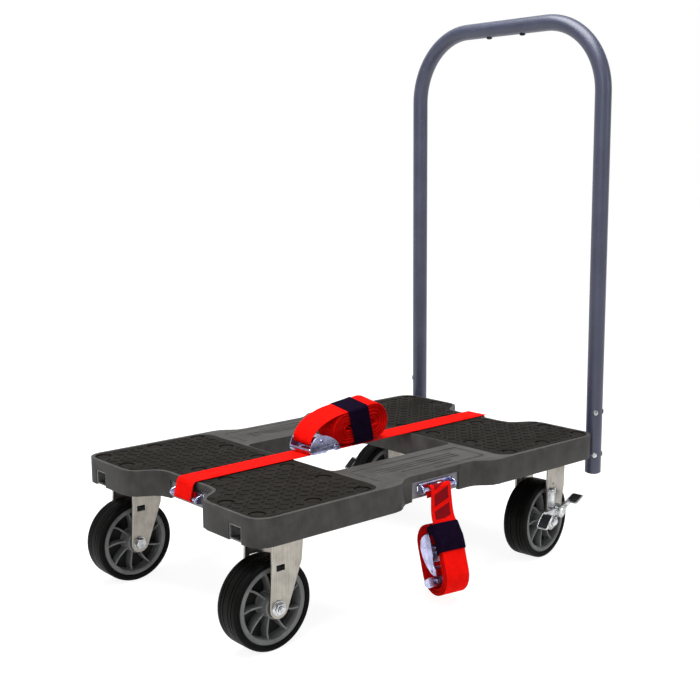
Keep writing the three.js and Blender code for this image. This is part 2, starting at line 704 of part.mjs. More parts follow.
// Front fitting, deck, buckle, back over the lip and into the roll.
function strapLong() {
  const throughBuckle = fromBuckle([
    [-46, 0.7], [-24, 1.2], [-14, 4.2], [-9.5, 7], [-9, 11.5], [-14, 14.8], [-25, 17],
  ]);
  const bow = fromBuckle([
    [-31.5, 23], [-28, 34], [-19, 44], [-5, 54], [15, 62.5], [40, 70], [64, 74],
  ]);
  const line = [...strapEnd(-1), ...throughBuckle, ...bow];
  return join(prism('y', strip(line, STRAP.thick), -STRAP.width / 2, STRAP.width / 2), woundTail());
}

function strapShort() {
  const loop = fromBuckle([...arc(BUCKLE_BARS[1], LOOP, 60, 230, 6), [30, 2.2], [40, 0.7]]);
  const line = [...fromBuckle([[33, 9]]), ...loop, ...strapEnd(1).reverse()];
  return prism('y', strip(line, STRAP.thick), -STRAP.width / 2, STRAP.width / 2);
}

// A hook-and-loop band closed round a roll; hollow is the size of the space inside it.
function wrapBand([halfX, halfY], low, high) {
  const { thick } = WRAP;
  const outer = block(around(0, halfX + thick), around(0, halfY + thick), [low, high]);
  return cut(outer, block(around(0, halfX), around(0, halfY), [low - 1, high + 1]));
}

const deckStrap = group(deckFrame, 0, STRAP.y, 0);
deckStrap.rotation.z = STRAP.yaw;
part('deck_strap_long', strapLong(), webbing(), deckStrap);
part('deck_strap_short', strapShort(), webbing(), deckStrap);
const rollHollow = [STRAP.width / 2 + 0.6, DECK_ROLL.radius + GAP];
const deckWrap = wrapBand(rollHollow, -WRAP.width / 2, WRAP.width / 2);
deckWrap.applyMatrix4(new THREE.Matrix4().makeBasis(Y_AXIS, Z_AXIS, X_AXIS));
deckWrap.translate((DECK_ROLL.left + DECK_ROLL.right) / 2, 0, DECK_ROLL.bottom + DECK_ROLL.radius);
part('deck_strap_wrap', deckWrap, hookAndLoop(), deckStrap);
const deckBuckle = group(deckStrap, BUCKLE.x, 0, buckleZ);
part('deck_buckle_frame', buckleFrame(), zincSteel(), deckBuckle);
part('deck_buckle_cam', camLever(), zincSteel(), deckBuckle);
for (const [endName, end] of ENDS) {
  const fitting = part(`deck_strap_fitting_${endName}`, endFitting(), zincSteel());
  const y = STRAP.y + end * STRAP.yaw * FITTING_X;
  fitting.position.set(end * (FITTING_X - FITTING.barOut), y, ANCHOR_SLOT.z);
  fitting.rotation.z = end > 0 ? 0 : Math.PI;
}

// ---------------------------------------------------------------- hanging strap

const SIDE_ANCHOR_Y = -(DECK.halfY - SIDE_WAIST.depth - ANCHOR.recess); // outer face of the right plate

// The roll is a thick ring of webbing with the buckle and the second fitting in its core.
function hangingWebbing() {
  const barY = SIDE_ANCHOR_Y - FITTING.barOut;
  const line = [
    [barY + LOOP, BAR_Z - 16],
    ...arc([barY, BAR_Z], LOOP, 0, 180, 6),
    [barY - LOOP, 172],
    [HANGING.y, 150],
    [HANGING.y - 1, 137],
  ];
  const ring = stadium(HANGING.radius, HANGING.straight);
  ring.holes.push(stadium(HANGING.core, HANGING.straight + 2));
  const half = STRAP.width / 2;
  const roll = prism('x', ring, -half, half);
  roll.rotateX(HANGING_ROLL.tilt).rotateZ(HANGING_ROLL.yaw);
  roll.translate(HANGING_ROLL.shift, HANGING.y, HANGING.z);
  return join(prism('x', strip(line, STRAP.thick), -half, half), roll);
}

// The hook-and-loop strip passes over the roll's outer side and back through its core.
function hangingWrap() {
  const { radius, straight, core } = HANGING;
  const sector = (outer, inner, margin) => {
    const low = HANGING_WRAP.low - margin;
    const bend = (size) => arc([0, straight / 2], size, HANGING_WRAP.start - margin, 180, 5);
    return outlineOf([...bend(outer), [-outer, low], [-inner, low], ...bend(inner).reverse()]);
  };
  const half = STRAP.width / 2 + 0.5;
  const hollow = [radius + 0.5, core - 0.5];
  const cover = sector(hollow[0] + WRAP.thick, hollow[1] - WRAP.thick, 0);
  const sleeve = prism('x', cover, -half - WRAP.thick, half + WRAP.thick);
  return cut(sleeve, prism('x', sector(...hollow, 3), -half, half));
}

const hanging = group(deckFrame, HANGING.x, 0, 0);
const anchorFitting = part('hanging_fitting', endFitting(), zincSteel(), hanging);
anchorFitting.position.set(0, SIDE_ANCHOR_Y, ANCHOR_SLOT.z);
anchorFitting.rotation.z = -Math.PI / 2;
part('hanging_strap', hangingWebbing(), webbing(), hanging);

// Inside the roll: local Z runs up the roll and local Y towards the deck.
const rollFrame = group(hanging, HANGING_ROLL.shift, HANGING.y, HANGING.z);
rollFrame.rotation.set(HANGING_ROLL.tilt, 0, HANGING_ROLL.yaw, 'ZYX');
part('hanging_strap_wrap', hangingWrap(), hookAndLoop(), rollFrame);
const innerBuckle = group(rollFrame, 0, -15.5, 9);
innerBuckle.setRotationFromMatrix(
  new THREE.Matrix4().makeBasis(Z_AXIS.clone().negate(), X_AXIS.clone().negate(), Y_AXIS),
);
part('hanging_buckle_frame', buckleFrame(), zincSteel(), innerBuckle);
part('hanging_buckle_cam', camLever(), zincSteel(), innerBuckle);
const looseFitting = part('hanging_loose_fitting', endFitting(), zincSteel(), rollFrame);
looseFitting.position.set(0, -4, -37);
looseFitting.rotation.z = Math.PI / 2;

export default dolly;
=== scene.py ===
"""Looks of the furniture dolly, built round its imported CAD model.

Sizes are in millimetres in each piece's own frame, and a matrix takes them to metres in the row frame.
"""

import json
import math

import bmesh
import bpy
from mathutils import Matrix, Vector
from mathutils.geometry import intersect_point_line


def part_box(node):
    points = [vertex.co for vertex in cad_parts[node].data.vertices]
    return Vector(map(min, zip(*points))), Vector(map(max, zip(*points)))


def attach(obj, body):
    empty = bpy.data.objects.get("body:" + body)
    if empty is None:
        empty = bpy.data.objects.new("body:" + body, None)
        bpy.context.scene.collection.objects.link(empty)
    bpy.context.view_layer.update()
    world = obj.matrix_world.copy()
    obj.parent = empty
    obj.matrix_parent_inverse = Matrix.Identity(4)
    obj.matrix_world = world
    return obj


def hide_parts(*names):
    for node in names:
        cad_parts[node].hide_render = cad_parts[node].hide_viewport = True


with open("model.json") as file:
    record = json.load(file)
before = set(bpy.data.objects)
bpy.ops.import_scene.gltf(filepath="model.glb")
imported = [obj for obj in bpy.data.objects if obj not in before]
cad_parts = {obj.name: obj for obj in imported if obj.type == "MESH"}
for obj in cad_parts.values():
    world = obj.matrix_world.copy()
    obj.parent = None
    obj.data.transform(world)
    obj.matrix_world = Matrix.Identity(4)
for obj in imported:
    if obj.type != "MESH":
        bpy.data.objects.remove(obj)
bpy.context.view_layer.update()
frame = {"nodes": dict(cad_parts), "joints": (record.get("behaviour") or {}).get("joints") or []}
nodes = frame["nodes"]

# ---------------------------------------------------------------- sizes

MM = 0.001
CLEAR = 0.3  # gap between pieces that touch

deck_low, deck_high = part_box("deck_shell")
DECK_CENTRE = (deck_low + deck_high) / 2
DECK_TOP = deck_high.z / MM
WHEEL = {"radius": 76.2, "half": 25.0, "rim": 65.0, "hub": 20.0, "bore": 12.3, "hub_half": 32.0}
LEG_FACE = 38.0  # outer face of a caster leg, from the wheel's middle plane
PLATE_LOW = 197.7  # underside of the casters' top plates
PLATE_BOLT = {"x": 46, "y": 36}  # half the spacing of a top plate's bolts
BAR = {"x": 436.0, "half_y": 250.0, "bottom": 150.0, "top": 1043.0, "bend": 142.0, "radius": 16.0}
STRAP = {"width": 50.0, "thick": 1.85, "yaw": 0.0243, "y": 5.0, "pitch": 2.0, "z": 237.2}
FITTING = {"half": 40.0, "bar": 3.2, "bar_out": 12.0, "x": 365.0, "y": 244.0, "z": 210.0, "bar_z": 208.0}
LOOP = 5.2  # radius of the webbing's middle line round a fitting's bar
BUCKLE = {"x": -82.0, "z": 236.5, "inner": 28.5, "plate": 2.0, "pivot": (-9.0, 23.5)}
DECK_ROLL = {"left": -23.0, "right": 48.0, "z": 278.6, "outer": 36.6, "inner": 4.6}
HANGING = {"x": -13.0, "y": -262.0, "z": 78.0, "outer": 36.6, "inner": 24.6, "half": 27.0}
HANGING_ROLL = {"shift": 5.0, "tilt": -0.32, "yaw": -0.16}  # how the roll hangs below its fitting
BRAKE = {"x": 4.0, "z": 98.0, "lever": 8.8, "width": 24.0}
LOCK_PEDAL = {"reach": 33.0, "length": 29.0, "angle": 20.0, "bend": 0.0, "up": 1}
RELEASE_PEDAL = {"reach": 50.0, "length": 32.0, "angle": 173.0, "bend": 53.0, "up": -1}

# ---------------------------------------------------------------- camera, light and floor

CAMERA = {"x": -1.39745, "y": -1.61801, "z": 0.77062}  # metres from the floor under the deck's centre
CAMERA_TURN = {"heading": 0.714, "down": 0.163, "roll": -0.00718}
CAMERA_LENS = 58.535


def make_camera():
    place = Vector((DECK_CENTRE.x + CAMERA["x"], DECK_CENTRE.y + CAMERA["y"], CAMERA["z"]))
    heading, down, roll = CAMERA_TURN["heading"], CAMERA_TURN["down"], CAMERA_TURN["roll"]
    data = bpy.data.cameras.new("camera")
    data.lens = CAMERA_LENS
    camera = bpy.data.objects.new("camera", data)
    bpy.context.scene.collection.objects.link(camera)
    turn = Matrix.Rotation(-heading, 4, "Z") @ Matrix.Rotation(math.pi / 2 - down, 4, "X")
    camera.matrix_world = Matrix.Translation(place) @ turn @ Matrix.Rotation(roll, 4, "Z")
    bpy.context.scene.camera = camera


def area_light(name, place, aim, size, power):
    data = bpy.data.lights.new(name, "AREA")
    data.shape = "RECTANGLE"
    data.size, data.size_y = size
    data.energy = power
    lamp = bpy.data.objects.new(name, data)
    bpy.context.scene.collection.objects.link(lamp)
    lamp.location = place
    lamp.rotation_euler = (Vector(aim) - Vector(place)).to_track_quat("-Z", "Y").to_euler()


def make_world():
    """A white sweep behind the dolly, dimmer in front of it and overhead, where the soft boxes are."""
    world = bpy.data.worlds.new("studio")
    bpy.context.scene.world = world
    world.use_nodes = True
    tree = world.node_tree
    place = tree.nodes.new("ShaderNodeTexCoord")
    facing = tree.nodes.new("ShaderNodeVectorMath")
    facing.operation = "DOT_PRODUCT"
    facing.inputs[1].default_value = (0.62, 0.72, -0.55)
    ramp = tree.nodes.new("ShaderNodeValToRGB")
    ramp.color_ramp.elements[0].position = 0.1
    ramp.color_ramp.elements[0].color = (0.42, 0.42, 0.44, 1.0)
    ramp.color_ramp.elements[1].position = 0.55
    ramp.color_ramp.elements[1].color = (1.0, 1.0, 1.0, 1.0)
    tree.links.new(place.outputs["Generated"], facing.inputs[0])
    tree.links.new(facing.outputs["Value"], ramp.inputs[0])
    tree.links.new(ramp.outputs[0], tree.nodes["Background"].inputs["Color"])
    tree.nodes["Background"].inputs["Strength"].default_value = 1.0


def make_studio():
    make_world()
    area_light("overhead", (-0.3, -0.1, 2.8), (0.1, 0.0, 0.2), (2.4, 2.0), 150)
    area_light("front_left", (-2.6, -1.6, 1.7), (0.0, 0.0, 0.4), (0.9, 1.2), 16)
    area_light("right", (1.2, -2.8, 1.5), (0.1, 0.0, 0.3), (0.9, 1.2), 10)
    view = bpy.context.scene.view_settings
    view.view_transform = "Standard"
    view.look = "None"
    bpy.ops.mesh.primitive_plane_add(size=30, location=(0, 0, -0.0005))
    floor = bpy.context.object
    floor.name = "floor"
    floor.data.materials.append(floor_finish())


# ---------------------------------------------------------------- finishes


class Finish:
    """One material, with short calls for building its node tree."""

    def __init__(self, name, roughness=0.5, metallic=0.0, specular=0.5):
        self.material = bpy.data.materials.new(name)
        self.material.use_nodes = True
        self.tree = self.material.node_tree
        self.shader = self.tree.nodes["Principled BSDF"]
        self.shader.inputs["Roughness"].default_value = roughness
        self.shader.inputs["Metallic"].default_value = metallic
        self.shader.inputs["Specular IOR Level"].default_value = specular
        self.place = self.node("TexCoord", output="Object")

    def node(self, kind, inputs=None, output=0, **settings):
        made = self.tree.nodes.new("ShaderNode" + kind)
        for key, value in settings.items():
            setattr(made, key, value)
        for key, value in (inputs or {}).items():
            self.put(made.inputs[key], value)
        return made.outputs[output]

    def put(self, socket, value):
        if isinstance(value, bpy.types.NodeSocket):
            self.tree.links.new(value, socket)
        else:
            socket.default_value = value

    def maths(self, operation, a, b=0.0):
        return self.node("Math", {0: a, 1: b}, operation=operation)

    def mix(self, share, a, b):
        colours = {"Color1": (*a, 1) if isinstance(a, tuple) else a}
        colours["Color2"] = (*b, 1) if isinstance(b, tuple) else b
        return self.node("MixRGB", {"Fac": share, **colours})

    def remap(self, value, low, high, to_low=0.0, to_high=1.0):
        ends = {"From Min": low, "From Max": high, "To Min": to_low, "To Max": to_high}
        return self.node("MapRange", {"Value": value, **ends})

    def noise(self, size_mm, detail=2.0, stretch=(1, 1, 1)):
        """Cloudy noise whose blobs are about size_mm across, longer along a stretched axis."""
        factors = Vector(1 / (size_mm * MM * s) for s in stretch)
        place = self.node("VectorMath", {0: self.place, 1: factors}, operation="MULTIPLY")
        return self.node("TexNoise", {"Vector": place, "Scale": 1.0, "Detail": detail})

    def edges(self, radius_mm):
        """1 on sharp corners and 0 on flat faces."""
        rounded = self.node("Bevel", {"Radius": radius_mm * MM}, samples=4)
        flat = self.node("NewGeometry", output="Normal")
        match = self.node("VectorMath", {0: rounded, 1: flat}, output="Value", operation="DOT_PRODUCT")
        return self.remap(match, 0.99, 0.75)

    def bump(self, height, depth_mm, strength=1.0):
        normal = self.node("Bump", {"Height": height, "Distance": depth_mm * MM, "Strength": strength})
        self.put(self.shader.inputs["Normal"], normal)

    def done(self, colour, roughness=None, **inputs):
        self.put(self.shader.inputs["Base Color"], colour)
        if roughness is not None:
            self.put(self.shader.inputs["Roughness"], roughness)
        for key, value in inputs.items():
            self.put(self.shader.inputs[key.replace("_", " ").title()], value)
        return self.material


def floor_finish():
    """Pale studio floor that also glows a little, so that shadows on it stay faint."""
    look = Finish("floor", 0.9, specular=0.0)
    cloud = look.remap(look.noise(900, 3), 0.3, 0.7)
    look.put(look.shader.inputs["Emission Color"], (1, 1, 1, 1))
    look.put(look.shader.inputs["Emission Strength"], 0.88)
    return look.done(look.mix(cloud, (0.27, 0.27, 0.27), (0.29, 0.29, 0.29)))


def plastic(name, dark, light, roughness, painted_light_share=0.35):
    """Moulded plastic: fine grain, faint flow marks up the walls and a painted highlight on its corners."""
    look = Finish(name, specular=0.2)
    grain = look.noise(0.9, 3)
    cloud = look.noise(30, 6)
    flow = look.noise(7, 3, stretch=(1, 1, 9))
    tone = look.maths("ADD", look.maths("MULTIPLY", cloud, 0.55), look.maths("MULTIPLY", flow, 0.15))
    tone = look.maths("ADD", tone, look.maths("MULTIPLY", grain, 0.3))
    body = look.mix(look.remap(tone, 0.4, 0.66), dark, light)
    # Painted highlight: the corners are lightened towards a pale tone, varied by the cloud noise, to stand
    # in for light catching the rounded edges.
    painted_edge_highlight = look.maths("MULTIPLY", look.edges(1.6), look.remap(cloud, 0.3, 0.6, 0.5 * painted_light_share, painted_light_share))
    pale = tuple(2.2 * channel + 0.03 for channel in light)
    look.bump(look.maths("ADD", grain, look.maths("MULTIPLY", flow, 0.3)), 0.12, 0.7)
    return look.done(look.mix(painted_edge_highlight, body, pale), look.remap(cloud, 0.3, 0.7, roughness, roughness + 0.14))


def rubber(name, dark, light, roughness, dust=0.2):
    """Rubber: fine speckle and a thin film of dust."""
    look = Finish(name, specular=0.05)
    speckle = look.noise(1.1, 3)
    film = look.noise(24, 5)
    body = look.mix(look.remap(speckle, 0.35, 0.7), dark, light)
    dusty = look.maths("MULTIPLY", look.remap(film, 0.45, 0.75), dust)
    pale = tuple(3 * channel + 0.01 for channel in light)
    look.bump(speckle, 0.15, 0.6)
    return look.done(look.mix(dusty, body, pale), look.remap(film, 0.3, 0.7, roughness, roughness + 0.15))


def brushed_steel(name, dark, light, roughness):
    """Pressed steel sheet with a fine upright brushed grain, smudges and a painted highlight on its corners.
    """
    look = Finish(name, metallic=1.0)
    brush = look.noise(0.7, 2, stretch=(1, 1, 60))
    smudge = look.noise(22, 4)
    tone = look.maths("ADD", look.maths("MULTIPLY", brush, 0.5), look.maths("MULTIPLY", smudge, 0.5))
    body = look.mix(look.remap(tone, 0.35, 0.65), dark, light)
    # Painted highlight: the corners are lightened towards near white.
    bright = look.maths("MULTIPLY", look.edges(1.2), 0.8)
    look.bump(brush, 0.02, 0.35)
    rough = look.remap(tone, 0.35, 0.65, roughness, roughness + 0.16)
    return look.done(look.mix(bright, body, (0.9, 0.89, 0.86)), rough)


def plated_steel(name, dark, light, roughness):
    """Zinc plate: soft bluish clouds, hair scratches, small pits and a painted highlight on its corners."""
    look = Finish(name, metallic=1.0)
    cloud = look.noise(16, 3)
    scratch = look.noise(0.5, 2, stretch=(18, 1, 1))
    pits = look.node("TexVoronoi", {"Vector": look.place, "Scale": 700.0})
    body = look.mix(look.remap(cloud, 0.35, 0.65), dark, light)
    # Painted highlight: the corners are lightened towards near white.
    bright = look.maths("MULTIPLY", look.edges(0.6), 0.6)
    look.bump(look.maths("ADD", scratch, look.maths("MULTIPLY", pits, 0.3)), 0.015, 0.4)
    rough = look.remap(scratch, 0.3, 0.7, roughness, roughness + 0.12)
    return look.done(look.mix(bright, body, (0.95, 0.95, 0.98)), rough)


def hammered_paint(name, dark, light):
    """Powder coat with a shallow hammered dimple and tiny chips."""
    look = Finish(name, metallic=0.2)
    dimple = look.node("TexVoronoi", {"Vector": look.place, "Scale": 420.0}, feature="SMOOTH_F1")
    speck = look.noise(1.4, 3)
    cloud = look.noise(60, 3)
    tone = look.maths("ADD", look.maths("MULTIPLY", speck, 0.6), look.maths("MULTIPLY", cloud, 0.4))
    chip = look.remap(look.noise(3.5, 2), 0.74, 0.77, 0.0, 0.6)
    body = look.mix(look.remap(tone, 0.35, 0.65), dark, light)
    look.bump(look.maths("ADD", dimple, look.maths("MULTIPLY", speck, 0.3)), 0.25, 0.5)
    finish = look.mix(chip, body, (0.25, 0.26, 0.3))
    return look.done(finish, look.remap(speck, 0.3, 0.7, 0.36, 0.52), coat_weight=0.3, coat_roughness=0.3)


def woven(look):
    """Height of a webbing weave from the strap's own coordinates, in metres along and across."""
    along_across = look.node("SeparateXYZ", {0: look.node("UVMap")})
    along = look.maths("MULTIPLY", along_across.node.outputs["X"], 1 / (1.3 * MM))
    across = look.maths("MULTIPLY", along_across.node.outputs["Y"], 1 / (2.1 * MM))
    column = look.maths("MULTIPLY", look.maths("PINGPONG", across, 0.5), 2.0)
    slant = look.maths("ADD", along, look.maths("MULTIPLY", column, 0.8))
    yarn = look.maths("MULTIPLY", look.maths("PINGPONG", slant, 0.5), 2.0)
    return along_across.node, look.maths("MULTIPLY", yarn, look.remap(column, 0.0, 0.35, 0.4, 1.0))


def webbing(name, deep, vivid, shaded, printed=None):
    """Woven strap whose selvedges carry painted shade in slow bands; printed is the colour of plain slanting
    blocks on it.
    """
    look = Finish(name, 0.8, specular=0.02)
    strap, yarn = woven(look)
    wash = look.remap(look.noise(14, 4), 0.3, 0.7)
    share = look.maths("ADD", look.maths("MULTIPLY", yarn, 0.55), look.maths("MULTIPLY", wash, 0.45))
    along, across = strap.outputs["X"], strap.outputs["Y"]
    colour = look.mix(share, deep, vivid)
    # Painted shade: the selvedges are darkened towards the shaded colour, in bands that repeat about every
    # 0.93 m along the strap, to stand in for the shade on a roll's end.
    painted_light_share = look.maths("SINE", look.maths("MULTIPLY", along, 2 * math.pi / 0.93))
    rim_share = look.remap(look.maths("ABSOLUTE", across), 23.6 * MM, 24.6 * MM)
    colour = look.mix(look.maths("MULTIPLY", rim_share, look.remap(painted_light_share, -1, 1, 0.25, 0.85)), colour, shaded)
    if printed:
        slanted = look.maths("ADD", along, look.maths("MULTIPLY", across, 0.35))
        beat = look.maths("FRACT", look.maths("MULTIPLY", slanted, 1 / (31 * MM)))
        block = look.maths("GREATER_THAN", beat, 0.28)
        field = look.maths("LESS_THAN", look.maths("ABSOLUTE", across), 17 * MM)
        ends = look.maths("LESS_THAN", along, 92 * MM)
        mask = look.maths("MULTIPLY", look.maths("MULTIPLY", block, field), ends)
        colour = look.mix(look.maths("MULTIPLY", mask, 0.85), colour, printed)
    look.bump(yarn, 0.22, 0.8)
    return look.done(colour)


def napped(name, dark, light):
    """Hook-and-loop tape: a dense brushed pile over a coarse knit."""
    look = Finish(name, 0.95, specular=0.02)
    _, yarn = woven(look)
    pile = look.noise(0.7, 3)
    patch = look.noise(12, 4)
    share = look.maths("ADD", look.maths("MULTIPLY", pile, 0.6), look.maths("MULTIPLY", patch, 0.4))
    look.bump(look.maths("ADD", pile, look.maths("MULTIPLY", yarn, 0.4)), 0.4, 0.8)
    return look.done(look.mix(look.remap(share, 0.35, 0.65), dark, light))


# Deep and vivid yarn colours, then the colour of the painted shade on the selvedges.
RED_YARNS_AND_SHADE = ((0.5, 0.003, 0.002), (0.8, 0.006, 0.003), (0.2, 0.002, 0.002))

FINISHES = {
    "deck_plastic": plastic("deck_plastic", (0.024, 0.023, 0.0213), (0.052, 0.0505, 0.047), 0.5),
    "grip_rubber": rubber("grip_rubber", (0.005, 0.0042, 0.0034), (0.0125, 0.0108, 0.0088), 0.65),
    "tyre_rubber": rubber("tyre_rubber", (0.002, 0.002, 0.0018), (0.0055, 0.0055, 0.005), 0.4, 0.12),
    "rim_plastic": plastic("rim_plastic", (0.085, 0.088, 0.086), (0.15, 0.154, 0.148), 0.42, 0.9),
    # Painted shade: near-black plastic for the sheet laid over the rims' pockets.
    "pocket_painted_shade": plastic("pocket_painted_shade", (0.008, 0.008, 0.0078), (0.016, 0.016, 0.0155), 0.6, 0.1),
    "zinc_steel": plated_steel("zinc_steel", (0.32, 0.33, 0.52), (0.6, 0.62, 0.88), 0.22),
    "bolt_steel": plated_steel("bolt_steel", (0.28, 0.285, 0.29), (0.62, 0.63, 0.64), 0.22),
    "stainless": brushed_steel("stainless", (0.23, 0.215, 0.19), (0.4, 0.375, 0.33), 0.28),
    "dull_steel": brushed_steel("dull_steel", (0.12, 0.12, 0.12), (0.24, 0.24, 0.25), 0.45),
    "bar_paint": hammered_paint("bar_paint", (0.022, 0.026, 0.05), (0.045, 0.05, 0.085)),
    "webbing": webbing("webbing", *RED_YARNS_AND_SHADE),
    "printed_webbing": webbing("printed_webbing", *RED_YARNS_AND_SHADE, printed=(0.09, 0.004, 0.008)),
    "hook_and_loop": napped("hook_and_loop", (0.0025, 0.001, 0.0045), (0.007, 0.003, 0.013)),
    "pedal_black": rubber("pedal_black", (0.008, 0.008, 0.009), (0.02, 0.021, 0.023), 0.4, 0.3),
}

# ---------------------------------------------------------------- mesh tools


def frame_at(parent=None, place=(0, 0, 0), turn=0.0, axis="Z"):
    """A millimetre frame at a place in its parent's, turned about one axis."""
    step = Matrix.Translation(Vector(place)) @ Matrix.Rotation(turn, 4, axis)
    return step if parent is None else parent @ step


def basis(x, y, z):
    """A turn that takes X, Y and Z to these three directions."""
    return Matrix((x, y, z)).transposed().to_4x4()


DECK = Matrix.Translation((DECK_CENTRE.x, DECK_CENTRE.y, 0)) @ Matrix.Scale(MM, 4)
Y_UP = basis((1, 0, 0), (0, 0, 1), (0, -1, 0))  # drawn in X-Y, stands in X-Z
ALONG_Y = basis((1, 0, 0), (0, 0, -1), (0, 1, 0))  # turned about Z, lies along Y
ALONG_X = basis((0, 1, 0), (0, 0, 1), (1, 0, 0))  # turned about Z, lies along X


def skin(bm, rings, closed=True, looped=False, capped=True):
    """Faces between rings of points; looped joins the last ring to the first."""
    rows = [[bm.verts.new(p) for p in ring] for ring in rings]
    pairs = list(zip(rows, rows[1:])) + ([(rows[-1], rows[0])] if looped else [])
    count = len(rows[0])
    for a, b in pairs:
        for i in range(count if closed else count - 1):
            j = (i + 1) % count
            bm.faces.new((a[i], a[j], b[j], b[i]))
    if capped and not looped:
        bm.faces.new(rows[0][::-1])
        bm.faces.new(rows[-1])
    return rows


def turned(bm, profile, at, steps=64):
    """A closed profile of (radius, height) pairs turned about the frame's Z axis."""
    rings = []
    for i in range(steps):
        angle = 2 * math.pi * i / steps
        c, s = math.cos(angle), math.sin(angle)
        rings.append([at @ Vector((r * c, r * s, h)) for r, h in profile])
    skin(bm, rings, looped=True)


def prism(bm, outline, low, high, at, chamfer=0.0):
    """A flat outline given thickness along Z, with a chamfer round both faces."""
    centre = sum((Vector(p) for p in outline), Vector((0, 0))) / len(outline)
    reach = max((Vector(p) - centre).length for p in outline)
    small = [centre + (Vector(p) - centre) * (1 - chamfer / reach) for p in outline]
    levels = [(small, low), (outline, low + chamfer), (outline, high - chamfer), (small, high)]
    if chamfer == 0:
        levels = [(outline, low), (outline, high)]
    skin(bm, [[at @ Vector((p[0], p[1], z)) for p in line] for line, z in levels])


def tangents(path):
    steps = [(b - a).normalized() for a, b in zip(path, path[1:])]
    return [(a + b).normalized() for a, b in zip([steps[0]] + steps, steps + [steps[-1]])]


def rod(bm, path, radius, at, sides=16, across=(0, 1, 0)):
    """A round bar bent along a flat path; across is the direction square to the path's plane."""
    path = [Vector(p) for p in path]
    across = Vector(across)
    rings = []
    for point, along in zip(path, tangents(path)):
        up = across.cross(along).normalized()
        angles = [2 * math.pi * i / sides for i in range(sides)]
        rings.append([at @ (point + radius * (math.cos(a) * across + math.sin(a) * up)) for a in angles])
    skin(bm, rings)


SELVEDGE = [(-1, 0), (-0.975, 0.75), (-0.92, 1), (-0.5, 0.9)]
SELVEDGE += [(0, 0.86), (0.5, 0.9), (0.92, 1), (0.975, 0.75)]
RIBBON_RING = SELVEDGE + [(-a, -b) for a, b in SELVEDGE]


def ribbon(bm, path, width, thick, at, across=(0, 1, 0), warp=lambda p: p):
    """A woven strap along a path, with its own coordinates in metres along and across it."""
    path = [Vector(p) for p in path]
    across = Vector(across)
    rings, length, lengths = [], 0.0, []
    for i, (point, along) in enumerate(zip(path, tangents(path))):
        length += (point - path[i - 1]).length if i else 0.0
        lengths.append(length * MM)
        up = along.cross(across).normalized()
        place = [point + across * (a * width / 2) + up * (b * thick / 2) for a, b in RIBBON_RING]
        rings.append([at @ warp(p) for p in place])
    uv = bm.loops.layers.uv.verify()
    rows = skin(bm, rings)
    spot = {}
    for row, far in zip(rows, lengths):
        for vertex, (a, _) in zip(row, RIBBON_RING):
            spot[vertex] = (far, a * width * MM / 2)
    for face in bm.faces:
        for loop in face.loops:
            if loop.vert in spot:
                loop[uv].uv = spot[loop.vert]
    return lengths[-1]


def plate(bm, outline, holes, low, high, at, rounding=0.4):
    """A flat plate with holes and rounded edges."""
    curve = bpy.data.curves.new("outline", "CURVE")
    curve.dimensions = "2D"
    curve.fill_mode = "BOTH"
    curve.extrude = (high - low) / 2 - rounding
    curve.bevel_depth = rounding
    curve.bevel_resolution = 2
    curve.offset = -rounding
    for line in [outline, *holes]:
        spline = curve.splines.new("POLY")
        spline.points.add(len(line) - 1)
        spline.use_cyclic_u = True
        for point, (x, y) in zip(spline.points, line):
            point.co = (x, y, 0, 1)
    holder = bpy.data.objects.new("outline", curve)
    bpy.context.scene.collection.objects.link(holder)
    shape = holder.evaluated_get(bpy.context.evaluated_depsgraph_get())
    mesh = bpy.data.meshes.new_from_object(shape)
    mesh.transform(at @ Matrix.Translation((0, 0, (low + high) / 2)))
    bm.from_mesh(mesh)
    bpy.data.objects.remove(holder)
    bpy.data.curves.remove(curve)
    bpy.data.meshes.remove(mesh)


def circle(centre, radius, sides=20, turn=0.0):
    angles = [turn + 2 * math.pi * i / sides for i in range(sides)]
    return [(centre[0] + radius * math.cos(a), centre[1] + radius * math.sin(a)) for a in angles]


def arc(centre, radius, start, end, steps=8):
    angles = [math.radians(start + (end - start) * i / steps) for i in range(steps + 1)]
    return [(centre[0] + radius * math.cos(a), centre[1] + radius * math.sin(a)) for a in angles]


def flowing(points, step=3.0):
    """A smooth line through the points, with a new point about every step."""
    points = [Vector(p) for p in points]
    padded = [2 * points[0] - points[1], *points, 2 * points[-1] - points[-2]]
    line = []
    for before, a, b, after in zip(padded, padded[1:], padded[2:], padded[3:]):
        count = max(1, round((b - a).length / step))
        for i in range(count):
            t = i / count
            pull = (b - before) * 0.5
            push = (after - a) * 0.5
            h1, h2 = 2 * t**3 - 3 * t**2 + 1, t**3 - 2 * t**2 + t
            h3, h4 = -2 * t**3 + 3 * t**2, t**3 - t**2
            line.append(a * h1 + pull * h2 + b * h3 + push * h4)
    return [*line, points[-1]]


def rounded_box(half_a, half_b, radius, sides=4):
    """A rectangle with round corners, from the middle of its lower side."""
    corners = [(1, -1, -90), (1, 1, 0), (-1, 1, 90), (-1, -1, 180)]
    line = [(0.0, -half_b)]
    for sign_a, sign_b, start in corners:
        centre = (sign_a * (half_a - radius), sign_b * (half_b - radius))
        line += arc(centre, radius, start, start + 90, sides)
    return line


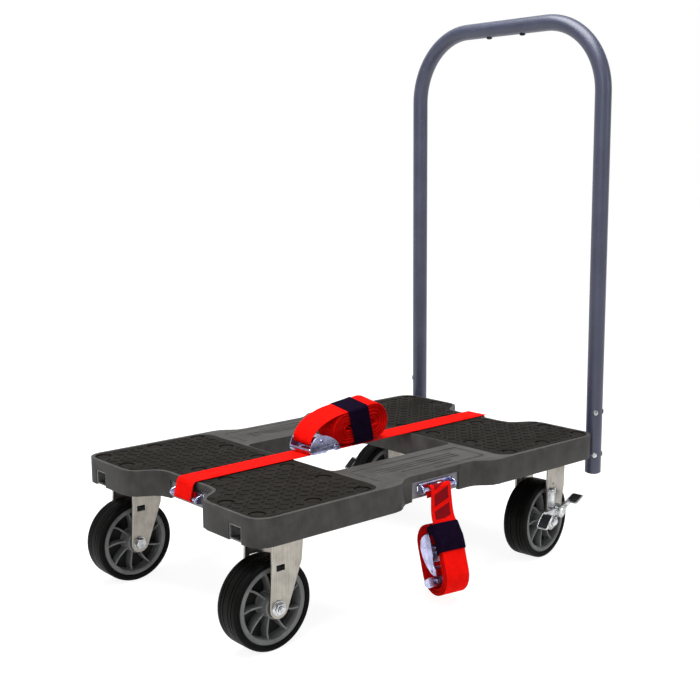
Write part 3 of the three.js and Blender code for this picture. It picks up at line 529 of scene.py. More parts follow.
def piece(name, bm, finish, body, slot, *stands_for, crease=32, bevel=0.0):
    """The finished object: welded, shaded, given its finish and set on its body."""
    bmesh.ops.remove_doubles(bm, verts=bm.verts, dist=2e-6)
    bmesh.ops.recalc_face_normals(bm, faces=bm.faces)
    mesh = bpy.data.meshes.new(name)
    bm.to_mesh(mesh)
    bm.free()
    mesh.materials.append(FINISHES[finish])
    mesh.shade_smooth()
    mesh.set_sharp_from_angle(angle=math.radians(crease))
    obj = bpy.data.objects.new(name, mesh)
    bpy.context.scene.collection.objects.link(obj)
    if bevel:
        soften(obj, bevel)
    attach(obj, body)
    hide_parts(*stands_for)
    return obj


def soften(obj, width_mm, segments=2, limit=28):
    """Rounds the sharp edges and shades the rest smoothly."""
    bevel = obj.modifiers.new("rounded edges", "BEVEL")
    bevel.width = width_mm * MM
    bevel.segments = segments
    bevel.limit_method = "ANGLE"
    bevel.angle_limit = math.radians(limit)
    bevel.harden_normals = True
    obj.data.shade_smooth()


# ---------------------------------------------------------------- carried-over CAD nodes


def dress(node, finish, width_mm):
    """Gives a CAD node its finish and rounds its edges, leaving its own mesh alone."""
    obj = nodes[node]
    obj.data.materials.clear()
    obj.data.materials.append(FINISHES[finish])
    weld = obj.modifiers.new("weld", "WELD")
    weld.merge_threshold = 1e-5
    flat = obj.modifiers.new("one face per plane", "DECIMATE")
    flat.decimate_type = "DISSOLVE"
    flat.angle_limit = math.radians(0.6)
    soften(obj, width_mm)


def dress_cad_nodes():
    dress("deck_shell", "deck_plastic", 1.8)
    for node in nodes:
        if node.startswith(("fork_", "swivel_plate_")):
            dress(node, "stainless", 0.6)
        elif node.startswith(("socket_sleeve_", "anchor_plate_")):
            dress(node, "dull_steel", 0.5)
        elif node.startswith(("bearing_", "kingpin_")):
            dress(node, "zinc_steel", 0.5)
        elif node.startswith("socket_bracket_"):
            dress(node, "bar_paint", 0.8)


# ---------------------------------------------------------------- deck


def top_outline(node):
    """The corners of a flat CAD piece's top face in order, in millimetres from the deck's centre."""
    mesh = nodes[node].data
    top = max(v.co.z for v in mesh.vertices)
    following = {}
    for polygon in mesh.polygons:
        corners = [mesh.vertices[i].co for i in polygon.vertices]
        if min(c.z for c in corners) < top - 1e-5:
            continue
        steps = [(corner - DECK_CENTRE) / MM for corner in corners]
        keys = [(round(step.x, 2), round(step.y, 2)) for step in steps]
        for a, b in zip(keys, keys[1:] + keys[:1]):
            following[(a, b)] = b
    outer = {a: b for (a, b) in following if (b, a) not in following}
    start = next(iter(outer))
    line, here = [start], outer[start]
    while here != start:
        line.append(here)
        here = outer[here]
    return line


def inside(point, outline, margin):
    """True if the point lies in the outline and at least margin from its edge."""
    crossings = 0
    for (x0, y0), (x1, y1) in zip(outline, outline[1:] + outline[:1]):
        if (y0 > point[1]) != (y1 > point[1]):
            crossings += point[0] < (x1 - x0) * (point[1] - y0) / (y1 - y0) + x0
        near, share = intersect_point_line((*point, 0), (x0, y0, 0), (x1, y1, 0))
        near = Vector((x0, y0, 0)).lerp(Vector((x1, y1, 0)), min(1.0, max(0.0, share)))
        if (near.xy - Vector(point)).length < margin:
            return False
    return crossings % 2 == 1


RECESS_RADIUS = 14.5
RECESSES = [(185, 44), (185, 146), (184, 246), (285, 242), (316, 42), (396, 156), (396, 240)]
TREAD = {"pitch": 17.5, "length": 14.0, "width": 5.0, "rise": 1.4}


def tread_bar(bm, centre, angle, base):
    """One raised dash of the tread: wide at its foot and rounded at its ends."""
    at = DECK @ frame_at(None, (*centre, base), angle)
    half, wide = TREAD["length"] / 2, TREAD["width"] / 2
    levels = [(1.0, 0.0), (0.92, 0.65), (0.7, 1.0)]
    rings = []
    for share, rise in levels:
        x, y = half - wide * (1 - share) * 1.2, wide * share
        line = [(x, 0), (x * 0.8, y), (-x * 0.8, y), (-x, 0), (-x * 0.8, -y), (x * 0.8, -y)]
        rings.append([at @ Vector((a, b, rise * TREAD["rise"])) for a, b in line])
    skin(bm, rings)


def grip_pad(name, end):
    """Rubber mat with a staggered dash tread and fourteen round recesses."""
    outline = top_outline(f"grip_pad_{name}")
    low_corner, high_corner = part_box(f"grip_pad_{name}")
    low, top = low_corner.z / MM, high_corner.z / MM
    recesses = [(end * x, side * y) for x, y in RECESSES for side in (-1, 1)]
    bm = bmesh.new()
    face = top - 0.4
    plate(bm, outline, [circle(c, RECESS_RADIUS, 28)[::-1] for c in recesses], low, face, DECK, 0.5)
    for centre in recesses:
        at = DECK @ frame_at(None, (*centre, low))
        rim_radius, button = RECESS_RADIUS + 0.4, RECESS_RADIUS - 3.6
        dish = [(0, 0), (rim_radius, 0), (rim_radius, 0.5), (button, 0.5), (button - 0.6, 1.9), (0, 2.1)]
        turned(bm, dish, at, 28)
    pitch = TREAD["pitch"]
    for i in range(-40, 41):
        for j in range(-22, 23):
            centre = (i * pitch, j * pitch)
            free = all((Vector(centre) - Vector(c)).length > RECESS_RADIUS + 5.5 for c in recesses)
            if free and end * centre[0] > 0 and inside(centre, outline, 6.0):
                tread_bar(bm, centre, math.radians(45 if (i + j) % 2 else -45), face - 0.05)
    node = f"grip_pad_{name}"
    piece(f"{node}_treaded", bm, "grip_rubber", "frame", "grip_rubber", node, crease=40)


def rail_marks(side):
    """Shallow moulded border and plain ribs on the top of a side rail."""
    bm = bmesh.new()
    middle, reach, half = side * 193.0, 132.0, 38.0
    corners = rounded_box(reach, half, 4.0)
    path = [(x, middle + y, DECK_TOP) for x, y in corners]
    rod(bm, path, 1.1, DECK, 6, across=(0, 0, 1))
    for row, length in ((14.0, 96.0), (4.0, 96.0), (-6.0, 96.0), (-20.0, 60.0)):
        y = middle - side * row
        rod(bm, [(-length, y, DECK_TOP), (0, y, DECK_TOP), (length, y, DECK_TOP)], 1.3, DECK, 6)
    name = "right" if side < 0 else "left"
    piece(f"rail_marks_{name}", bm, "deck_plastic", "frame", "deck_plastic")


# ---------------------------------------------------------------- wheels


def tyre_profile():
    """Half of a solid tyre's section, mirrored: seat, ringed side wall, round shoulder, grooved tread."""
    radius, half, seat = WHEEL["radius"], WHEEL["half"], WHEEL["rim"] + CLEAR
    line = [(seat, half - 1.6), (seat + 0.6, half - 0.5)]
    for ring in (seat + 2.2, seat + 4.8):
        line += [(ring - 0.5, half - 0.3), (ring - 0.2, half - 1.1)]
        line += [(ring + 0.3, half - 1.1), (ring + 0.6, half - 0.3)]
    line += [(x, y) for y, x in arc((half - 4.8, radius - 4.8), 4.6, 12, 88, 6)]
    for groove in (14.5, 7.0):
        line += [(radius, groove + 1.1), (radius - 1.2, groove + 0.7)]
        line += [(radius - 1.2, groove - 0.7), (radius, groove - 1.1)]
    return line + [(r, -h) for r, h in reversed(line)]


def curved_rib(bm, at, low, high):
    """One gently curved web rib from the hub to the rim band, thicker at its foot."""
    spine = [(WHEEL["hub"] - 1.5, 0.0), (30.0, 0.4), (45.0, 3.0), (WHEEL["rim"] - 7.0, 8.4)]
    spine = flowing([(x, y, 0) for x, y in spine], 6)
    rings = []
    for point, along in zip(spine, tangents(spine)):
        across = Vector((-along.y, along.x, 0))
        section = [(-1.9, low), (1.9, low), (1.5, high - 0.6), (1.0, high), (-1.0, high), (-1.5, high - 0.6)]
        rings.append([at @ (point + across * a + Vector((0, 0, h))) for a, h in section])
    skin(bm, rings)


def rim_pocket_shade(bm, at):
    """A thin dark sheet of painted shade over the web between the hub and the band, on both sides."""
    inner, outer = WHEEL["hub"] + 2.6, WHEEL["rim"] - 10.6
    for turn in (0.0, math.pi):
        face = at @ Matrix.Rotation(turn, 4, "X")
        lining = [(inner, 3.2), (inner, 4.4), (inner + 3.0, 3.9)]
        lining += [(outer - 3.0, 3.9), (outer, 5.6), (outer, 3.2)]
        turned(bm, lining, face, 96)


def rim(bm, at):
    """Band, dished web, hub and nine curved ribs on each side."""
    half, hub_half = WHEEL["half"] - 1.0, WHEEL["hub_half"]
    outer, band, hub, bore = WHEEL["rim"], WHEEL["rim"] - 9.0, WHEEL["hub"], WHEEL["bore"]
    side = [(bore, hub_half), (hub - 1.2, hub_half), (hub, hub_half - 1.2)]
    side += [(hub + 0.6, 7.0), (hub + 3.0, 3.6), (band - 3.0, 3.2), (band - 0.6, 5.4), (band, half - 2.4)]
    side += [(band + 0.7, half - 0.7), (band + 2.0, half), (outer - 2.2, half), (outer - 1.0, half - 0.6)]
    side += [(outer, half - 2.0)]
    turned(bm, side + [(r, -h) for r, h in reversed(side)], at, 96)
    for i in range(9):
        turn = Matrix.Rotation(2 * math.pi * (i + 0.35) / 9, 4, "Z")
        curved_rib(bm, at @ turn, 3.0, half - 4.0)
        curved_rib(bm, at @ Matrix.Rotation(math.pi, 4, "X") @ turn, 3.0, half - 4.0)


def wheel_frame(label):
    """The wheel's own frame: its centre from the CAD tyre, and Z along its axle."""
    low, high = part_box(f"tyre_{label}")
    joint = next(j for j in frame["joints"] if j["name"] == f"wheel_spin_{label}")
    axle = Vector(joint["axis"]).normalized()
    forward = axle.cross(Vector((0, 0, 1))).normalized()
    place = Vector(((low.x + high.x) / 2, (low.y + high.y) / 2, WHEEL["radius"] * MM))
    return Matrix.Translation(place) @ basis(forward, axle, (0, 0, 1)) @ Matrix.Scale(MM, 4) @ ALONG_Y


def hexagon(bm, across_flats, low, high, at):
    """A six-sided nut or head with chamfered corners."""
    prism(bm, circle((0, 0), across_flats / math.sqrt(3), 6), low, high, at, chamfer=0.9)


def axle_hardware(bm, at):
    """Outboard nut on its washer with the threaded end, and the bolt head inboard."""
    face = LEG_FACE + CLEAR
    turned(bm, [(0, face), (12.6, face), (13.0, face + 0.5), (12.4, face + 1.6), (0, face + 1.6)], at, 32)
    step = face + 1.6
    turned(bm, [(0, step), (11.4, step), (11.0, step + 1.0), (9.6, step + 1.6), (0, step + 1.6)], at, 32)
    hexagon(bm, 17.6, face + 2.8, face + 7.6, at)
    thread = [(0, -face - 1.0), (5.6, -face - 1.0), (5.6, face + 7.4)]
    for i in range(3):
        ridge = face + 7.4 + i * 1.1
        thread += [(6.0, ridge + 0.3), (5.3, ridge + 0.85)]
    thread += [(4.6, face + 10.9), (0, face + 10.9)]
    turned(bm, thread, at, 24)
    hexagon(bm, 17.6, -face - 7.8, -face - 1.2, at)
    flange = [(0, -face - 1.4), (11.6, -face - 1.4), (12.0, -face - 0.8), (12.0, -face), (0, -face)]
    turned(bm, flange, at, 32)


def wheel(label, side):
    at = wheel_frame(label)
    bm = bmesh.new()
    turned(bm, tyre_profile(), at, 96)
    body = f"wheel_{label}"
    piece(f"tyre_{label}_moulded", bm, "tyre_rubber", body, "tyre_rubber", f"tyre_{label}", crease=45)
    bm = bmesh.new()
    rim(bm, at)
    piece(f"rim_{label}_ribbed", bm, "rim_plastic", body, "rim_plastic", f"rim_{label}")
    # Painted shade: a dark sheet over the rim's pockets.
    bm = bmesh.new()
    rim_pocket_shade(bm, at)
    piece(f"rim_{label}_pocket_shade", bm, "pocket_painted_shade", body, "rim_plastic")
    carrier = f"caster_{label}" if label.startswith("rear") else "frame"
    bm = bmesh.new()
    axle_hardware(bm, at if side > 0 else at @ Matrix.Rotation(math.pi, 4, "X"))
    piece(f"axle_nut_{label}", bm, "bolt_steel", carrier, "zinc_steel", f"axle_bolt_{label}")


def plate_bolts(label, plate_node):
    """The four hex bolts that hold a caster's top plate to the deck."""
    low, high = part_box(plate_node)
    bm = bmesh.new()
    for x in (-PLATE_BOLT["x"], PLATE_BOLT["x"]):
        for y in (-PLATE_BOLT["y"], PLATE_BOLT["y"]):
            place = ((low.x + high.x) / 2 + x * MM, (low.y + high.y) / 2 + y * MM, PLATE_LOW * MM)
            at = Matrix.Translation(place) @ Matrix.Scale(MM, 4)
            turned(bm, [(0, -1.7), (6.6, -1.7), (6.6, -0.3), (0, -0.3)], at, 20)
            hexagon(bm, 11.0, -6.6, -1.5, at)
    piece(f"plate_bolts_{label}", bm, "bolt_steel", "frame", "zinc_steel")


# ---------------------------------------------------------------- brakes


def brake_frame(label, side):
    """Origin under the axle on the floor, X back, Z up and Y outboard, as the caster is turned."""
    at = wheel_frame(label) @ ALONG_Y.inverted() @ Matrix.Translation((0, 0, -WHEEL["radius"]))
    return at @ Matrix.Scale(side, 4, (0, 1, 0))


BRAKE_FACE = LEG_FACE + CLEAR  # the brake parts lie on this plane and outboard of it
ROCKER_FACE = BRAKE_FACE + BRAKE["lever"]


def pedal(bm, black, at, lever):
    """A pressed pedal: bright plate with rolled edges and a black studded tread set on it."""
    length, width, up = lever["length"], BRAKE["width"], lever["up"]
    pivot = at @ frame_at(None, (BRAKE["x"], 0, BRAKE["z"]), -math.radians(lever["angle"]), "Y")
    place = (lever["reach"], ROCKER_FACE + width / 2, 0)
    hinge = frame_at(pivot, place, -math.radians(lever["bend"]), "Y")
    outline = [(length / 2 + a, b) for a, b in rounded_box(length / 2, width / 2, 3.0)]
    prism(bm, outline, -1.5, 1.5, hinge, chamfer=0.5)
    for y in (1.2 - width / 2, width / 2 - 1.2):
        rod(bm, [(1.5, y, up * 1.4), (length / 2, y, up * 1.8), (length - 1.5, y, up * 1.4)], 1.2, hinge, 10)
    tip = [(length - 1.2, y, 0) for y in (3 - width / 2, 0, width / 2 - 3)]
    rod(bm, tip, 2.0, hinge, 12, across=(0, 0, 1))
    tread = hinge @ Matrix.Scale(up, 4, (0, 0, 1))
    face = [(length / 2 + a, b) for a, b in rounded_box(length / 2 - 3, width / 2 - 2.6, 2.0)]
    prism(black, face, 1.2, 3.0, tread, chamfer=0.4)
    for i in range(5):
        for j in range(3):
            middle = (length / 2 + (i - 2) * (length - 10) / 5, (j - 1) * 5.4, 3.0)
            stud = frame_at(tread, middle, math.radians(35 if (i + j) % 2 else -35))
            prism(black, [(-1.9, -0.8), (1.9, -0.8), (1.9, 0.8), (-1.9, 0.8)], -0.1, 0.8, stud, chamfer=0.2)


def pedal_arm(bm, at, lever, thick):
    """A flat pressed arm from the rocker's hub to a pedal, from one half width to another."""
    angle = math.radians(lever["angle"])
    reach = lever["reach"] + 3.0
    spine = [(0, 0), (0.4 * reach, 1.2 * lever["up"]), (reach, 0)]
    spine = flowing([(a, b, 0) for a, b in spine], 5)
    sides = [[], []]
    for i, (point, along) in enumerate(zip(spine, tangents(spine))):
        across = Vector((-along.y, along.x, 0))
        half = thick[0] + (thick[1] - thick[0]) * i / (len(spine) - 1)
        sides[0].append((point + across * half).to_2d())
        sides[1].insert(0, (point - across * half).to_2d())
    plane = at @ frame_at(None, (BRAKE["x"], 0, BRAKE["z"])) @ Y_UP @ Matrix.Rotation(angle, 4, "Z")
    prism(bm, sides[0] + sides[1], -ROCKER_FACE - 9.0, -ROCKER_FACE - 3.0, plane, chamfer=0.6)
    rivet = plane @ Matrix.Translation((17.0, 0, 0)) @ Matrix.Scale(-1, 4, (0, 0, 1))
    face = ROCKER_FACE + 8.6
    turned(bm, [(0, face), (3.8, face), (3.6, face + 1.4), (2.2, face + 2.4), (0, face + 2.6)], rivet, 18)


def brake_pedals(label, side):
    """Rocker on its pivot pin with the locking and the releasing pedal."""
    at = brake_frame(label, side)
    bm, black = bmesh.new(), bmesh.new()
    for lever in (LOCK_PEDAL, RELEASE_PEDAL):
        pedal(bm, black, at, lever)
        pedal_arm(bm, at, lever, (8.0, 3.8))
    hub = at @ frame_at(None, (BRAKE["x"], 0, BRAKE["z"])) @ ALONG_Y
    low, high = ROCKER_FACE, ROCKER_FACE + 12
    ring = [(5.4, low), (11.2, low), (12.0, low + 0.8), (12.0, high - 1), (11.0, high), (5.4, high)]
    turned(bm, ring, hub, 36)
    cap = [(0, high - 0.5), (8.0, high - 0.5), (8.4, high + 0.4), (7.4, high + 2.6), (0, high + 3.2)]
    turned(bm, cap, hub, 28)
    body = f"brake_{label}"
    piece(f"brake_rocker_{label}", bm, "bolt_steel", body, "zinc_steel", f"brake_pedals_{label}", bevel=0.3)
    piece(f"brake_treads_{label}", black, "pedal_black", body, "zinc_steel")


def brake_housing(label, side):
    """Domed spring barrel above a pressed foot that holds the pedals' pivot pin."""
    at = brake_frame(label, side)
    face = BRAKE_FACE
    bm = bmesh.new()
    barrel = at @ frame_at(None, (-4, face, 0))
    stations = [(102, 10.2), (103.2, 11), (109, 11), (110, 10.4), (134, 10.4), (135, 11), (139, 10.8)]
    stations += [(141.6, 9.4), (143, 6.4)]
    rings = []
    for z, radius in stations:
        line = arc((0, -3.0), radius, 0, 180, 18)
        rings.append([barrel @ Vector((x, max(y, 0.0), z)) for x, y in line])
    skin(bm, rings)
    flange = [(a - 4, b + 123) for a, b in rounded_box(14.0, 19.0, 3.0)]
    prism(bm, flange, -face - 1.5, -face, at @ Y_UP, chamfer=0.4)
    foot = [(a + 2, b + 100) for a, b in rounded_box(14.0, 10.0, 3.0)]
    prism(bm, foot, -face - BRAKE["lever"] + 0.8, -face, at @ Y_UP, chamfer=1.6)
    pin = at @ frame_at(None, (BRAKE["x"], 0, BRAKE["z"])) @ ALONG_Y
    turned(bm, [(0, face), (5.0, face), (5.0, ROCKER_FACE + 11), (0, ROCKER_FACE + 11)], pin, 24)
    for x in (-13.5, 5.5):
        rivet = at @ frame_at(None, (x, 0, 138)) @ ALONG_Y
        turned(bm, [(0, face + 1), (2.4, face + 1), (2.0, face + 2.6), (0, face + 3)], rivet, 16)
    body, node = f"caster_{label}", f"brake_housing_{label}"
    piece(f"brake_cover_{label}", bm, "bolt_steel", body, "zinc_steel", node)


# ---------------------------------------------------------------- push bar


def push_bar():
    """Bent steel tube with plugged feet and two small bumps under its top run."""
    bend_y, bend_z = BAR["half_y"] - BAR["bend"], BAR["top"] - BAR["bend"]
    line = [(-BAR["half_y"], BAR["bottom"]), (-BAR["half_y"], 500)]
    line += arc((-bend_y, bend_z), BAR["bend"], 180, 90, 24) + [(0, BAR["top"])]
    line += arc((bend_y, bend_z), BAR["bend"], 90, 0, 24)
    line += [(BAR["half_y"], 500), (BAR["half_y"], BAR["bottom"])]
    bm = bmesh.new()
    rod(bm, [(BAR["x"], y, z) for y, z in line], BAR["radius"], DECK, 40, across=(1, 0, 0))
    piece("push_bar_bent_tube", bm, "bar_paint", "frame", "bar_paint", "push_bar_tube", crease=60, bevel=0.8)
    bm = bmesh.new()
    for side in (-1, 1):
        at = DECK @ frame_at(None, (BAR["x"], side * BAR["half_y"], BAR["bottom"]))
        turned(bm, [(0, -0.1), (12.6, -0.1), (13.4, -0.7), (12.8, -1.6), (10.0, -2.2), (0, -2.4)], at, 32)
        bump = DECK @ frame_at(None, (BAR["x"], side * 45.0, BAR["top"] - BAR["radius"]))
        turned(bm, [(0, 1.0), (6.0, 1.0), (6.0, -1.2), (5.0, -2.6), (2.5, -3.4), (0, -3.6)], bump, 20)
    piece("push_bar_plugs", bm, "pedal_black", "frame", "bar_paint")


def screw_head(bm, at):
    """A domed head with a cross recess, facing along the frame's X axis."""
    local = at @ ALONG_X
    dome = [(0, 0.3), (4.9, 0.3), (5.2, 0.8), (4.9, 1.6), (3.8, 2.4)]
    dome += [(2.6, 2.8), (1.9, 2.8), (1.2, 1.2), (0, 1.0)]
    turned(bm, dome, local, 24)
    for turn in (0.0, math.pi / 2):
        slot = local @ Matrix.Rotation(turn, 4, "Z")
        prism(bm, [(-3.0, -0.35), (3.0, -0.35), (3.0, 0.35), (-3.0, 0.35)], 2.2, 2.75, slot)


def post_screws():
    """Two screws at each height of each post, square to each other."""
    for name, side in (("right", -1), ("left", 1)):
        for level, z in (("upper", 275.0), ("lower", 188.0)):
            for facing, angle in (("", 135), ("_side", 45)):
                bm = bmesh.new()
                post = DECK @ frame_at(None, (BAR["x"], side * BAR["half_y"], z), side * math.radians(angle))
                screw_head(bm, post @ Matrix.Translation((BAR["radius"] - 0.2, 0, 0)))
                stands_for = [f"bar_screw_{name}_{level}"] if not facing else []
                label = f"screw_head_{name}_{level}{facing}"
                piece(label, bm, "bolt_steel", "frame", "zinc_steel", *stands_for)


# ---------------------------------------------------------------- strap hardware


def smooth_outline(points, step=2.5):
    """A closed outline rounded through its corner points."""
    ring = [Vector((x, y, 0)) for x, y in points]
    closed = flowing([*ring[-2:], *ring, *ring[:2]], step)
    count = sum(max(1, round((b - a).length / step)) for a, b in zip(ring, ring[1:] + ring[:1]))
    lead = sum(max(1, round((b - a).length / step)) for a, b in ((ring[-2], ring[-1]), (ring[-1], ring[0])))
    return [(p.x, p.y) for p in closed[lead : lead + count]]


def buckle_frame(name, at, body, cad_node):
    """Pressed cam buckle: domed side plates, rolled thumb lip, cross bars and rivets."""
    inner, thick = BUCKLE["inner"], BUCKLE["plate"]
    top = [(-37, 8), (-36, 15), (-32.5, 24), (-26, 30.5), (-13, 35.3)]
    top += [(2, 33.4), (12, 29.4), (20, 25), (32, 15.5), (36.6, 8)]
    foot = [(36.4, 1.2), (25, 0.7), (21, 3.6), (5.5, 3.6), (1.5, 0.7), (-29, 0.7), (-34, 3)]
    outline = [*top, *foot]
    hole = circle((27.5, 11.5), 2.6, 16)[::-1]
    bm = bmesh.new()
    for y in (-inner - thick, inner):
        plate(bm, outline, [hole], -y - thick, -y, at @ Y_UP, 0.5)
    lip = [(-33.4, 5.6), (-36.4, 6.6), (-37.6, 9.4), (-36.6, 11.8), (-34.4, 12.2)]
    spine = flowing([(x, 0, z) for x, z in lip], 1.2)
    ribbon(bm, spine, 2 * inner + 1.0, 1.6, at)
    for x, z in ((-14, 9.5), (24, 8)):
        rod(bm, [(x, -inner - 1, z), (x, inner + 1, z)], 3.2, at, 18, across=(0, 0, 1))
    for y in (-1, 1):
        rivet = at @ frame_at(None, (24, 0, 8)) @ ALONG_Y
        low, high = y * (inner + thick - 0.4), y * (inner + thick + 1.0)
        turned(bm, [(0, low), (3.8, low), (3.5, (low + high) / 2), (2.2, high), (0, high)], rivet, 18)
    piece(name, bm, "zinc_steel", body, "zinc_steel", cad_node)


def cam_lever(name, at, body, cad_node):
    """Toothed cam on its pin, with the thumb plate that opens it."""
    width = BUCKLE["inner"] - 1
    x, z = BUCKLE["pivot"]
    bm = bmesh.new()
    teeth = []
    for i in range(48):
        angle = 2 * math.pi * i / 48
        gripping = 150 < math.degrees(angle) < 330
        radius = 7.0 - (0.7 if gripping and i % 2 else 0.0)
        teeth.append((x + radius * math.cos(angle), z + radius * math.sin(angle)))
    prism(bm, teeth, -width, width, at @ Y_UP, chamfer=0.3)
    outer = BUCKLE["inner"] + BUCKLE["plate"]
    pin = at @ frame_at(None, (x, 0, z)) @ ALONG_Y
    for side in (-1, 1):
        end = outer + 1.2
        start, stop = side * (width - 1), side * outer
        turned(bm, [(0, start), (2.9, start), (2.9, stop), (0, stop)], pin, 20)
        low = side * (outer + 0.1)
        head = [(0, low), (4.2, low), (3.9, side * (end - 0.4)), (2.4, side * end), (0, side * end)]
        turned(bm, head, pin, 20)
    thumb = at @ frame_at(None, (x, 0, z), 0.1, "Y")
    sheet_line = [(3, 0, 5.6), (9, 0, 5.0), (15, 0, 4.2), (20, 0, 4.2), (23, 0, 5.4)]
    ribbon(bm, flowing(sheet_line, 2.5), 2 * width, 2.0, thumb)
    for i in range(5):
        ridge = [(10 + i * 2.4, -width + 7, 5.6), (10 + i * 2.4, width - 7, 5.6)]
        rod(bm, ridge, 0.55, thumb, 8, across=(0, 0, 1))
    piece(name, bm, "zinc_steel", body, "zinc_steel", cad_node)


def end_fitting(name, at, body, cad_node):
    """Pressed E-track style fitting: plate with a lightening slot, ears, hooks and the webbing bar."""
    half, bar, out = FITTING["half"], FITTING["bar"], FITTING["bar_out"]
    bm = bmesh.new()
    face = at @ basis((0, 1, 0), (0, 0, 1), (1, 0, 0))
    outline = [(a, b - 0.5) for a, b in rounded_box(half, 8.5, 3.0)]
    window = [(a, b - 0.5) for a, b in rounded_box(17.0, 3.0, 2.5)][::-1]
    plate(bm, outline, [window], CLEAR, 3.3, face, 0.5)
    for side in (-1, 1):
        ear = [(2.0, -9.0), (13.0, -8.0), (16.6, -4.5), (17.0, -1.0), (15.0, 3.0), (10.0, 5.0), (2.0, 5.4)]
        low = side * (half - 1.5)
        prism(bm, smooth_outline(ear, 2.0), -low - 1.4, -low + 1.4, at @ Y_UP, chamfer=0.5)
        rivet = at @ frame_at(None, (out, 0, -2)) @ ALONG_Y
        ends = (side * (half - 0.2), side * (half + 0.9))
        turned(bm, [(0, ends[0]), (3.6, ends[0]), (3.2, ends[1]), (0, ends[1])], rivet, 18)
        hook = [(1.0, 3.8), (-6.4, 3.4), (-7.8, 1.6), (-7.6, -3.4), (-5.6, -3.8), (-5.0, 0.0), (1.0, -0.4)]
        low = side * (FITTING["half"] - 14.0)
        prism(bm, hook, -low - 2.0, -low + 2.0, at @ Y_UP, chamfer=0.4)
    tongue = [(2.4, 0, 6.8), (-1.0, 0, 4.4), (-4.0, 0, 2.8), (-6.6, 0, -1.0), (-6.0, 0, -3.6)]
    ribbon(bm, flowing(tongue, 2.0), 30.0, 1.0, at)
    rod(bm, [(out, -half + 0.5, -2), (out, half - 0.5, -2)], bar, at, 20, across=(0, 0, 1))
    piece(name, bm, "zinc_steel", body, "zinc_steel", cad_node)


# ---------------------------------------------------------------- straps


def wound(centres, start, outer, inner, turning, squeeze=1.0, sag=0.0):
    """A flat-sided spiral of (a, side, b) points round two centres, from its outermost turn inward.

    turning is 1 or -1. Squeeze narrows the turns round the second centre and lowers them to the same
    base, and sag lowers the inner ones further.
    """
    halves = round((outer - inner) / STRAP["pitch"] * 2)
    steps = 12
    line = []
    for k in range(halves):
        centre = centres[k % 2]
        for i in range(steps + 1):
            turns = (k + i / steps) / 2
            size = outer - STRAP["pitch"] * turns
            side = 0.7 * (math.sin(1.9 * turns) + 0.6 * math.sin(4.7 * turns)) * min(1.0, turns)
            radius, drop = size, 0.0
            if k % 2:
                radius = inner + (size - inner) * squeeze
                drop = size - radius + sag * (outer - size) / (outer - inner)
            angle = math.radians(start + turning * 360 * turns)
            a, b = radius * math.cos(angle), radius * math.sin(angle) - drop
            line.append((centre[0] + a, side, centre[1] + b))
    return line


def strap_end(end):
    """Points from the tail under an end fitting's bar, round it and up over the deck's edge."""
    bar_x, bar_z = FITTING["x"] + FITTING["bar_out"], FITTING["bar_z"]
    edge = FITTING["x"] + 2
    line = [(bar_x - LOOP, bar_z + 11), *arc((bar_x, bar_z), LOOP, 180, 360, 12)]
    line += [(edge + 9.5, 226), (edge + 8, 232.6), (edge + 4.4, STRAP["z"] - 0.9)]
    line += [(edge - 3, STRAP["z"]), (edge - 20, STRAP["z"])]
    return [(end * x, 0, z) for x, z in line]


def stitches(bm, start, along, count, at, rows=(-20, 20), step=3.6):
    """Rows of short thread stitches standing a little proud of a strap's face."""
    start, along = Vector(start), Vector(along).normalized()
    for row in rows:
        for i in range(count):
            a = start + along * (i * step) + Vector((0, row, 0))
            b = a + along * (step * 0.62)
            middle = (a + b) / 2 + Vector((0, 0, 0.25))
            rod(bm, [a, middle, b], 0.38, at, 6)


STRAP_FRAME = frame_at(DECK, (0, STRAP["y"], 0), STRAP["yaw"])
DECK_BUCKLE = frame_at(STRAP_FRAME, (BUCKLE["x"], 0, BUCKLE["z"]))


def from_buckle(points):
    return [(BUCKLE["x"] + x, 0, BUCKLE["z"] + z) for x, z in points]


def leaning(point):
    """The roll on the deck leans a little to the right, more so towards its top."""
    return point + Vector((0, 0, 0.17 * point.y * min(1.0, max(0.0, (point.z - 243) / 20))))


def deck_strap_long():
    """Front fitting, deck, buckle, back over the lip, and wound into the roll round its folded tail."""
    through = [(-60, 0.7), (-46, 0.7), (-24, 1.2), (-14, 4.2), (-9.5, 7), (-9, 11.5), (-14, 14.8), (-25, 17)]
    bow = [(-31.5, 23), (-28, 34), (-19, 44.5), (-5, 54.5), (12, 61.5), (33, 67.5), (59, 71.4), (90, 75)]
    line = flowing([*strap_end(-1), *from_buckle(through + bow)], 4.0)
    left, right, z = DECK_ROLL["left"], DECK_ROLL["right"], DECK_ROLL["z"]
    centres = [(right, z), (left, z)]
    line += wound(centres, 90, DECK_ROLL["outer"], DECK_ROLL["inner"], -1, squeeze=0.85, sag=2.0)
    fold = [(left + 14, -4.6), (4, -2.6), (right - 6, -1.6), (right - 3.2, 0)]
    fold += [(right - 6, 1.6), (12, 0), (2, 0.8)]
    line += [(x, 0, z + rise) for x, rise in fold]
    bm = bmesh.new()
    length = ribbon(bm, line, STRAP["width"], STRAP["thick"], STRAP_FRAME, warp=leaning)
    strap = piece("deck_strap_wound", bm, "webbing", "frame", "webbing", "deck_strap_long", crease=60)


